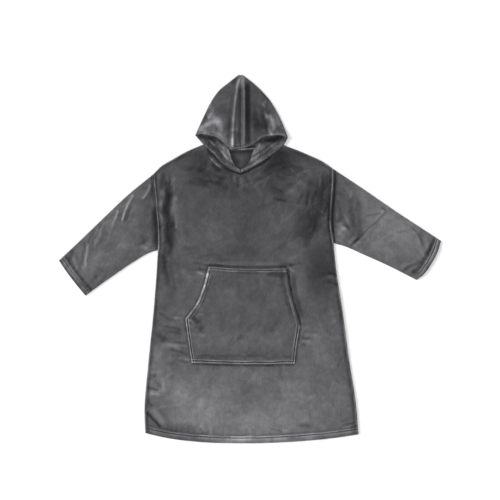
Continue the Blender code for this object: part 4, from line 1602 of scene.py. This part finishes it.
def hood_section(lower, upper, v, lower_across, upper_across, relief, lines):
    """The outer and inner points of one section round a hood half, and the tone of each side."""
    bend = HOOD_STACK / 2
    widths = np.array([np.linalg.norm(plan(1.0, v) - plan(0.0, v)) for plan in (lower, upper)])
    edge = np.minimum(bend / widths, 0.4)
    rim = rim_lift(HOOD_RIM, (1 - v) * HOOD_SIDE_LENGTH)
    fade = soft_step(v / TIP_FADE)

    under = lower(lower_across * (1 - edge[0]), v)
    flap = fade * soft_step((1 - lower_across) / FLAP_FADE)
    flap = flap * np.maximum(strokes_at(FLAP_FOLDS, under), FLAP_LOWEST)
    roll = rim_lift(ROLL_RIM, lower_across * widths[0]) * (v > ROLL_SHARE)
    shown = rim + roll + flap + ripples_at(FLAP_RIPPLES, under)

    corner, outline = lower(np.array([1 - edge[0], 1.0]), v)
    corner_rest = stack_under_hood(corner[None])[0]

    over = upper(edge[1] + upper_across * (1 - edge[1]), v)
    fullness = HOOD_CROWN * np.sin(np.pi * upper_across) ** 0.8
    folds = strokes_at(relief, over, trough=HOOD_TROUGH) + ripples_at(HOOD_RIPPLES, over)
    folds = folds * soft_step(upper_across / OVER_FADE)
    raised = fade * np.maximum(fullness + folds, HOOD_LOWEST)
    seam = fade * np.minimum(rim_lift(SEAM_RIM[:4], (1 - upper_across) * widths[1]), 0)
    over_top = stack_under_hood(over) + HOOD_STACK + raised

    sheets = []
    for ply_in, floor_lift, top_lift in ((0.0, 0.0, rim + seam), (PLY, PLY + shown, -PLY)):
        radius = bend - ply_in
        floor = with_heights(under, stack_under_hood(under) + floor_lift)
        spots = corner + (outline - corner) * (radius / bend * np.sin(TURN_ANGLES))[:, None]
        turn = with_heights(spots, corner_rest + bend - radius * np.cos(TURN_ANGLES))
        sheets.append(np.concatenate([floor, turn, with_heights(over, over_top + top_lift)]))
    plan = sheets[0][:, :2]
    on_top = np.arange(len(plan)) >= len(lower_across)
    outer_tone = nap_and_painted_shading_at(HOOD_NAP_AND_PAINTED_FOLD_LIGHT + smeared(HOOD_SMEARS), plan, HOOD_PAINTED_RIDGE_SHADING)
    # Painted highlight on the upper layer's folds and raised rims, and painted shade in its grooves
    outer_tone = outer_tone + FOLD_PAINTED_LIGHT * strokes_at(relief, plan, trough=HOOD_TROUGH)
    outer_tone = on_top * (outer_tone + HOOD_RIM_PAINTED_LIGHT * rim * uneven(plan))
    shown_tone = nap_and_painted_shading_at(FLAP_NAP_AND_PAINTED_SHADOW + smeared(FLAP_SMEARS), under, lines)
    inner_tone = np.full(len(plan), LINING_SHADE)
    # Painted highlight and shade on the shown flap, from its hem and its roll
    inner_tone[: len(under)] = shown_tone + RIM_PAINTED_LIGHT * (rim * uneven(under) + roll)
    return (*sheets, outer_tone, inner_tone)


def make_hood_half(name, side):
    lower, upper = hood_patches(side)
    hem = 1 - np.array([rim.inset for rim in HOOD_RIM])[::-1] / HOOD_SIDE_LENGTH
    rows = np.concatenate([spread(0, hem[0], HOOD_STEP)[:-1], hem])
    lower_across = np.concatenate([EDGE_SHARES, spread(0.045, 1, UNDER_STEP)])
    upper_across = np.concatenate([spread(0, 0.955, OVER_STEP), 1 - EDGE_SHARES[::-1]])
    relief = HOOD_FOLDS + puckered(HOOD_PUCKERS, [side])
    lines = marked(FLAP_PAINTED_BORDER_SHADING, [side])
    made = [hood_section(lower, upper, v, lower_across, upper_across, relief, lines) for v in rows]
    outer, inner, tones, inner_tones = [np.array(group) for group in zip(*made)]
    return wall(name, outer, inner, tones, inner_tones, REVERSE)


hood_halves = [make_hood_half("hood_half_right", RIGHT), make_hood_half("hood_half_left", LEFT)]

# %% [markdown]
# ## The neck stand
#
# Below the roll line the hood's cloth goes down into the neck seam. It is mostly under the
# flap, and it shows as a narrow strip between the hood's border and the seam.

# %% Neck stands
STAND_WIDTH = 19.0
NECK_SEAM_SHARE = SEAM_GAP / STAND_WIDTH
# Painted shade: the stand lies under the hood's flap, so its colour is darkened all over, and a painted
# shadow line runs under the hood's border.
STAND_PAINTED_SHADE = -0.6
STAND_PAINTED_SHADOW = table(Mark, (HOOD_BORDER, 1, 2.5, 4, -0.62))


def make_neck_stand(name, side):
    seam, roll = side_line(NECK_SEAM, side), side_line(ROLL_LINE, side)
    near = NECK_SEAM_SHARE + np.array([0, 0.02, 0.05, 0.1])
    across = np.concatenate([near, spread(0.16, 1, 0.07)])
    u, v = np.meshgrid(across, spread(0, 1, 0.02))
    spots = (1 - u)[..., None] * seam(v) + u[..., None] * roll(v)
    spots[-1, :, 0] = MIDDLE_X + side * SEAM_GAP / 2
    base = PLY + LAYER_GAP
    away = np.linalg.norm(spots - spots[:, :1], axis=-1)
    dip = np.minimum(rim_lift(SEAM_RIM, away), 0)
    outer = with_heights(spots, base + PLY + dip)
    # Painted shade over the stand, and the painted shadow line under the border
    tones = nap_and_painted_shading_at(BODY_NAP_AND_PAINTED_SHADE, spots, marked(STAND_PAINTED_SHADOW, [side])) + STAND_PAINTED_SHADE
    return wall(name, outer, with_heights(spots, base), tones)


neck_stands = [make_neck_stand("neck_stand_right", RIGHT), make_neck_stand("neck_stand_left", LEFT)]

# %% [markdown]
# ## The pocket
#
# The pocket follows the front's own height, so that it lies on it everywhere. Its foot and
# lower sides are edge-stitched, and its slanting mouths have a wider turned hem.

# %% Folds, nap and painted shading of the pocket
POCKET_FOLDS = table(
    Stroke,
    (-170, -100, -150, -60, 6, 1.4),
    (-184, -222, -206, -206, 6, 2.0),
    (-186, -236, -160, -246, 8, 1.4),
    (110, -60, 128, -150, 6, 1.6),
    (60, -44, 104, -42, 6, -1.2),
    (-60, -336, 120, -338, 9, 1.6, -3),
    (-70, -90, -50, -160, 18, 1.0, 6),
    (30, -130, 60, -220, 18, 1.0, -6),
)
POCKET_RIPPLES = table(Ripple, (40, 30, 4.5, 0.6))
# Besides the nap's tone, these strokes paint light and shade on the crumples by the wearer's right
# mouth, and a painted shadow band below the pocket's top edge.
POCKET_NAP_AND_PAINTED_SHADING = table(
    Stroke,
    (-156, -86, -172, -128, 4.6, 0.42, 3),
    (-168, -104, -186, -150, 4.6, -0.50, 3),
    (-148, -92, -166, -156, 4.6, -0.34, 6),
    (-172, -134, -190, -170, 4.6, 0.40, 4),
    (-200, -198, -172, -220, 8, -0.60),
    (-30, -120, -30, -280, 190, 0.02),
    (-190, -270, 150, -290, 40, 0.16),
    (-180, -336, 140, -338, 6, -0.30),
    (-214, -206, -198, -214, 5, 0.50),
    (-150, -40, -138, -66, 6, 0.45),
    (60, -52, 124, -54, 7, -0.52),
    (-40, -46, 30, -50, 5, -0.30),
    (108, -50, 146, -200, 7, -0.40, -3),
    (-160, -76, -196, -160, 7, -0.32, -6),
    (-20, -260, -40, -280, 8, -0.26),
    (10, -100, 30, -180, 26, -0.14, 8),
    (-110, -120, -60, -180, 30, 0.10),
    (-184, -232, -160, -244, 7, -0.40),
)
POCKET_SMEARS = table(
    Smear,
    (-30, -200, 150, 140, 82, 26, 50, 0.12),
    (-180, -220, 24, 60, 20, 10, 26, 0.22),
)
print("Strokes on the pocket:", len(POCKET_FOLDS + POCKET_NAP_AND_PAINTED_SHADING))

# %% Pocket
POCKET_WIDTH, POCKET_HEIGHT = 340.0, 330.0
POCKET_STEP = 3.6
MOUTH_FROM, MOUTH_BLEND = 0.45, 0.02
POCKET_CROWN = 2.6
POCKET_FADE = 45.0
POCKET_PUCKERS = table(
    Pucker,
    (POCKET_FOOT, 1, 9, 18, 1.0, 13, 30.5),
    (POCKET_SIDES, 1, 9, 18, 1.0, 13, 33.5),
    (POCKET_MOUTHS, 1, MOUTH_HEM + 3, 16, 1.0, 13, 36.5),
)

# Painted highlights on the swellings of the pocket's hems, and painted shade in their grooves and
# beside their edges. The left mouth lies flatter than the right one, so its hem's painted lines
# are fainter.
POCKET_PAINTED_HEM_SHADING = table(
    Mark,
    (POCKET_FOOT, 1, 2.4, 1.9, 0.76),
    (POCKET_FOOT, 1, 6.5, 1.8, -0.85),
    (POCKET_FOOT, 1, 10.3, 1.9, 0.58),
    (POCKET_TOP, -1, 2.4, 1.7, 0.40),
    (POCKET_TOP, -1, 6.0, 1.7, -0.30),
    (POCKET_TOP, -1, 9.6, 1.7, 0.40),
    (POCKET_SIDES, 1, 2.4, 1.9, 0.68),
    (POCKET_SIDES, 1, 6.5, 1.8, -0.68),
    (POCKET_SIDES, 1, 10.3, 1.9, 0.36),
    (POCKET_MOUTHS, 1, 3.4, 3.0, 0.70, RIGHT),
    (POCKET_MOUTHS, 1, 9, 2.2, -0.34, RIGHT),
    (POCKET_MOUTHS, 1, 14, 2.4, 0.10, RIGHT),
    (POCKET_MOUTHS, 1, 3.0, 2.4, -0.45, LEFT),
    (POCKET_MOUTHS, 1, 11, 2.0, 0.32, LEFT),
    (POCKET_MOUTHS, 1, 15, 2.0, -0.20, LEFT),
)


def pocket_plan():
    sides = [
        joined((MOUTH_FROM, side_line(POCKET_SIDES, side)), (1.0, side_line(POCKET_MOUTHS, side)))
        for side in SIDES
    ]
    return patch(line(POCKET_FOOT), line(POCKET_TOP), *sides)


def pocket_rim(u, v):
    """The lift of the pocket's hems: a narrow one below, and wide ones at its mouths."""
    side = np.minimum(u, 1 - u) * POCKET_WIDTH
    foot = np.minimum(v, 1 - v) * POCKET_HEIGHT
    mouth = soft_step((v - MOUTH_FROM + MOUTH_BLEND) / (2 * MOUTH_BLEND))
    side_lift = (1 - mouth) * rim_lift(POCKET_RIM, side) + mouth * rim_lift(MOUTH_RIM, side)
    return joined_rims(side_lift, rim_lift(POCKET_RIM, foot))


def make_pocket():
    across = graded(POCKET_WIDTH, POCKET_RIM + MOUTH_RIM, POCKET_RIM + MOUTH_RIM, POCKET_STEP)
    u, v = np.meshgrid(across, graded(POCKET_HEIGHT, POCKET_RIM, POCKET_RIM, POCKET_STEP))
    spots = pocket_plan()(u, v)
    inset = np.minimum(np.minimum(u, 1 - u) * POCKET_WIDTH, np.minimum(v, 1 - v) * POCKET_HEIGHT)
    relief = POCKET_FOLDS + puckered(POCKET_PUCKERS)
    loose = strokes_at(relief, spots, trough=FOLD_TROUGH) + ripples_at(POCKET_RIPPLES, spots)
    fullness = np.maximum((POCKET_CROWN + loose) * soft_step(inset / POCKET_FADE), 0)
    under = front_height(spots) + LAYER_GAP + fullness
    rim = pocket_rim(u, v) * uneven(spots)
    outer = under + PLY + np.maximum(rim, RIM_FLOOR)
    tones = nap_and_painted_shading_at(POCKET_NAP_AND_PAINTED_SHADING + smeared(POCKET_SMEARS), spots, marked(POCKET_PAINTED_HEM_SHADING))
    # Painted highlight on raised rims and folds, and painted shade in grooves
    tones = tones + RIM_PAINTED_LIGHT * rim + FOLD_PAINTED_LIGHT * loose
    return wall("pocket_of_front", with_heights(spots, outer), with_heights(spots, under), tones)


pocket = make_pocket()

# %% [markdown]
# ## Stitches
#
# Every turned hem is held by a row of short stitches that lie in its groove. A stitch is a
# small rounded bar, laid along the row and sunk half into the pile.

# %% Stitch rows
STITCH_LENGTH = 3.2
STITCH_STEP = 4.4
STITCH_RADIUS = 0.45
ROW_SAMPLES = 400
CUFF_ROW_LIFT = 1.2
POCKET_ROW_SINK = -0.4


def stitch_row(name, path, height_at, sink=0.1):
    """A row of stitches along a plan path, on the height that height_at gives."""
    samples = path(np.linspace(0, 1, ROW_SAMPLES))
    run = np.concatenate([[0], np.cumsum(np.linalg.norm(np.diff(samples, axis=0), axis=1))])
    places = np.arange(STITCH_STEP / 2, run[-1], STITCH_STEP)
    middles = np.stack([np.interp(places, run, samples[:, axis]) for axis in (0, 1)], axis=-1)
    ahead = np.stack([np.interp(places + 1, run, samples[:, axis]) for axis in (0, 1)], axis=-1)
    heights = height_at(middles)
    mesh = bmesh.new()
    for middle, nearby, height in zip(middles, ahead, heights):
        stitch = bmesh.ops.create_icosphere(mesh, subdivisions=1, radius=STITCH_RADIUS)["verts"]
        bmesh.ops.scale(mesh, vec=(STITCH_LENGTH / STITCH_RADIUS / 2, 1, 0.8), verts=stitch)
        turn = math.atan2(nearby[1] - middle[1], nearby[0] - middle[0])
        for vert in stitch:
            x, y, z = vert.co
            turned_x = x * math.cos(turn) - y * math.sin(turn)
            turned_y = x * math.sin(turn) + y * math.cos(turn)
            local = np.array([turned_x, turned_y, z])
            vert.co = (local + np.array([*middle, height - sink]) + PLACE) * MM
    return finished(name, mesh, THREAD)


def inset_path(plan, start, end):
    """The plan path of a straight run between two places of a patch."""
    start, end = np.array(start, float), np.array(end, float)
    return lambda share: plan(*(start + np.asarray(share)[..., None] * (end - start)).T)


GROOVE = min(rim.lift for rim in HEM_RIM[1:])
front_plan = body_patch(NECK_SEAM)
edge_share = 2.5 / BODY_WIDTH
hem_share = BODY_HEM / BODY_LENGTH
hem_row = stitch_row(
    "stitches_of_hem",
    inset_path(front_plan, (edge_share, hem_share), (1 - edge_share, hem_share)),
    lambda spots: front_height(spots) + GROOVE,
)

plan_of_pocket = pocket_plan()
side_share, foot_share = POCKET_HEM / POCKET_WIDTH, POCKET_HEM / POCKET_HEIGHT
mouth_share = MOUTH_HEM / POCKET_WIDTH


def pocket_height(spots):
    return front_height(spots) + LAYER_GAP + PLY + GROOVE


POCKET_RUNS = {
    "foot": ((side_share, foot_share), (1 - side_share, foot_share)),
    "top": ((side_share, 1 - foot_share), (1 - side_share, 1 - foot_share)),
    "right_side": ((side_share, foot_share), (side_share, MOUTH_FROM)),
    "left_side": ((1 - side_share, foot_share), (1 - side_share, MOUTH_FROM)),
    "right_mouth": ((mouth_share, MOUTH_FROM + MOUTH_BLEND), (mouth_share, 1 - foot_share)),
    "left_mouth": ((1 - mouth_share, MOUTH_FROM + MOUTH_BLEND), (1 - mouth_share, 1 - foot_share)),
}
pocket_rows = [
    stitch_row(
        f"stitches_of_pocket_{place}", inset_path(plan_of_pocket, *run), pocket_height, POCKET_ROW_SINK
    )
    for place, run in POCKET_RUNS.items()
]


def cuff_height(spots):
    return np.full(len(spots), SLEEVE_STACK + CUFF_ROW_LIFT)


cuff_rows = []
station = 1 - CUFF_HEM / SLEEVE_LENGTH
for word, side in (("right", RIGHT), ("left", LEFT)):
    path = inset_path(sleeve_plan(side), (0.05, station), (0.95, station))
    cuff_rows.append(stitch_row(f"stitches_of_{word}_cuff", path, cuff_height))

# %% [markdown]
# ## Floor, light and camera
#
# The floor is plain and nearly white. A large soft light hangs over the garment and a second
# comes in low from the wearer's right, so that folds show. The camera is high above, with a
# long lens, and looks straight down.

# %% Floor


def make_floor():
    mesh = bmesh.new()
    bmesh.ops.create_grid(mesh, x_segments=1, y_segments=1, size=6)
    data = bpy.data.meshes.new("floor")
    mesh.to_mesh(data)
    mesh.free()
    material = bpy.data.materials.new("floor_white")
    material.use_nodes = True
    shader = material.node_tree.nodes["Principled BSDF"]
    shader.inputs["Base Color"].default_value = (0.93, 0.93, 0.93, 1)
    shader.inputs["Roughness"].default_value = 0.9
    data.materials.append(material)
    floor = bpy.data.objects.new("floor", data)
    floor.location.z = -0.3 * MM
    bpy.context.scene.collection.objects.link(floor)
    return floor


floor = make_floor()
print("Floor's height, mm:", round(floor.location.z / MM, 2))

# %% Lights


def soft_sun(name, direction, width, strength):
    """An even light from a direction. Its width is the angle in degrees that it covers."""
    data = bpy.data.lights.new(name, "SUN")
    data.angle = math.radians(width)
    data.energy = strength
    light = bpy.data.objects.new(name, data)
    light.rotation_euler = Vector(direction).to_track_quat("Z", "Y").to_euler()
    bpy.context.scene.collection.objects.link(light)
    return light


suns = [
    soft_sun("side_light", (-1.0, 0.25, 0.72), width=34, strength=2.3),
    soft_sun("overhead_light", (0.1, -0.3, 1.0), width=60, strength=1.5),
]

world = bpy.data.worlds.new("studio")
world.use_nodes = True
world.node_tree.nodes["Background"].inputs["Color"].default_value = (1, 1, 1, 1)
world.node_tree.nodes["Background"].inputs["Strength"].default_value = 0.32
bpy.context.scene.world = world
print("Lights:", [sun.name for sun in suns])

# %% Camera
VIEW_WIDTH = 1725.0
VIEW_MIDDLE = np.array([0.345, 31.2])
CAMERA_HEIGHT = 6.0
SENSOR = 36.0

camera_data = bpy.data.cameras.new("camera")
camera_data.sensor_width = SENSOR
camera_data.lens = SENSOR * CAMERA_HEIGHT / (VIEW_WIDTH * MM)
camera = bpy.data.objects.new("camera", camera_data)
camera.location = (*((VIEW_MIDDLE + PLACE[:2]) * MM), CAMERA_HEIGHT)
bpy.context.scene.collection.objects.link(camera)
bpy.context.scene.camera = camera
bpy.context.scene.view_settings.view_transform = "Standard"
print("Camera's lens, mm:", round(camera_data.lens, 1))

# %% [markdown]
# ## Which solid each piece stands for
#
# Everything is one body. Each piece rides on it and replaces its CAD solid, which is hidden. The
# area that each cloth piece was cut from is printed.

AREA_SAMPLES = 60


def cut_area(plan, rounds=1):
    """The flat area of a patch in square metres, times the layers that its cut has."""
    shares = np.linspace(0, 1, AREA_SAMPLES)
    u, v = np.meshgrid(shares, shares)
    spots = plan(u, v)
    along = np.diff(spots, axis=1)[:-1]
    up = np.diff(spots, axis=0)[:, :-1]
    cross = along[..., 0] * up[..., 1] - along[..., 1] * up[..., 0]
    return round(float(np.abs(cross).sum()) * rounds * MM * MM, 4)


Cut = namedtuple("Cut", "piece node slot width length area rests_on")


def hood_area(side):
    lower, upper = hood_patches(side)
    return round(cut_area(lower) + cut_area(upper), 4)


def stand_area(side):
    seam, roll = side_line(NECK_SEAM, side), side_line(ROLL_LINE, side)
    ends = [line([seam(share), roll(share)]) for share in (0.0, 1.0)]
    return cut_area(patch(seam, roll, *ends))


SLOT = "plush_grey"
CUTS = [
    Cut(back, "back_panel", SLOT, 0.74, 1.035, cut_area(body_patch(BACK_NECK)), "floor"),
    Cut(front, "front_panel", SLOT, 0.74, 1.035, cut_area(front_plan), "back_of_body"),
    Cut(sleeves[0], "sleeve_right", SLOT, 0.53, 0.45, cut_area(sleeve_plan(RIGHT), 2), "floor"),
    Cut(sleeves[1], "sleeve_left", SLOT, 0.53, 0.45, cut_area(sleeve_plan(LEFT), 2), "floor"),
    Cut(hood_halves[0], "hood_right", SLOT, 0.35, 0.34, hood_area(RIGHT), "front_of_body"),
    Cut(hood_halves[1], "hood_left", SLOT, 0.35, 0.34, hood_area(LEFT), "front_of_body"),
    Cut(neck_stands[0], "hood_right_neck_stand", SLOT, 0.08, 0.17, stand_area(RIGHT), "back_of_body"),
    Cut(neck_stands[1], "hood_left_neck_stand", SLOT, 0.08, 0.17, stand_area(LEFT), "back_of_body"),
    Cut(pocket, "kangaroo_pocket", SLOT, 0.396, 0.336, cut_area(plan_of_pocket), "front_of_body"),
]
THREADS = {
    "front_of_body": [hem_row],
    "pocket_of_front": pocket_rows,
    "sleeve_of_right_arm": cuff_rows[:1],
    "sleeve_of_left_arm": cuff_rows[1:],
}
print("Cloth pieces:", len(CUTS), "and rows of stitches:", sum(map(len, THREADS.values())))

# %% Attach each piece to the body and hide its CAD solid
for cut in CUTS:
    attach(cut.piece, "root")
    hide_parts(cut.node)
    threads = THREADS.get(cut.piece.name, [])
    for thread in threads:
        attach(thread, "root")
    print(cut.piece.name, "is cut from", cut.area, "square metres")
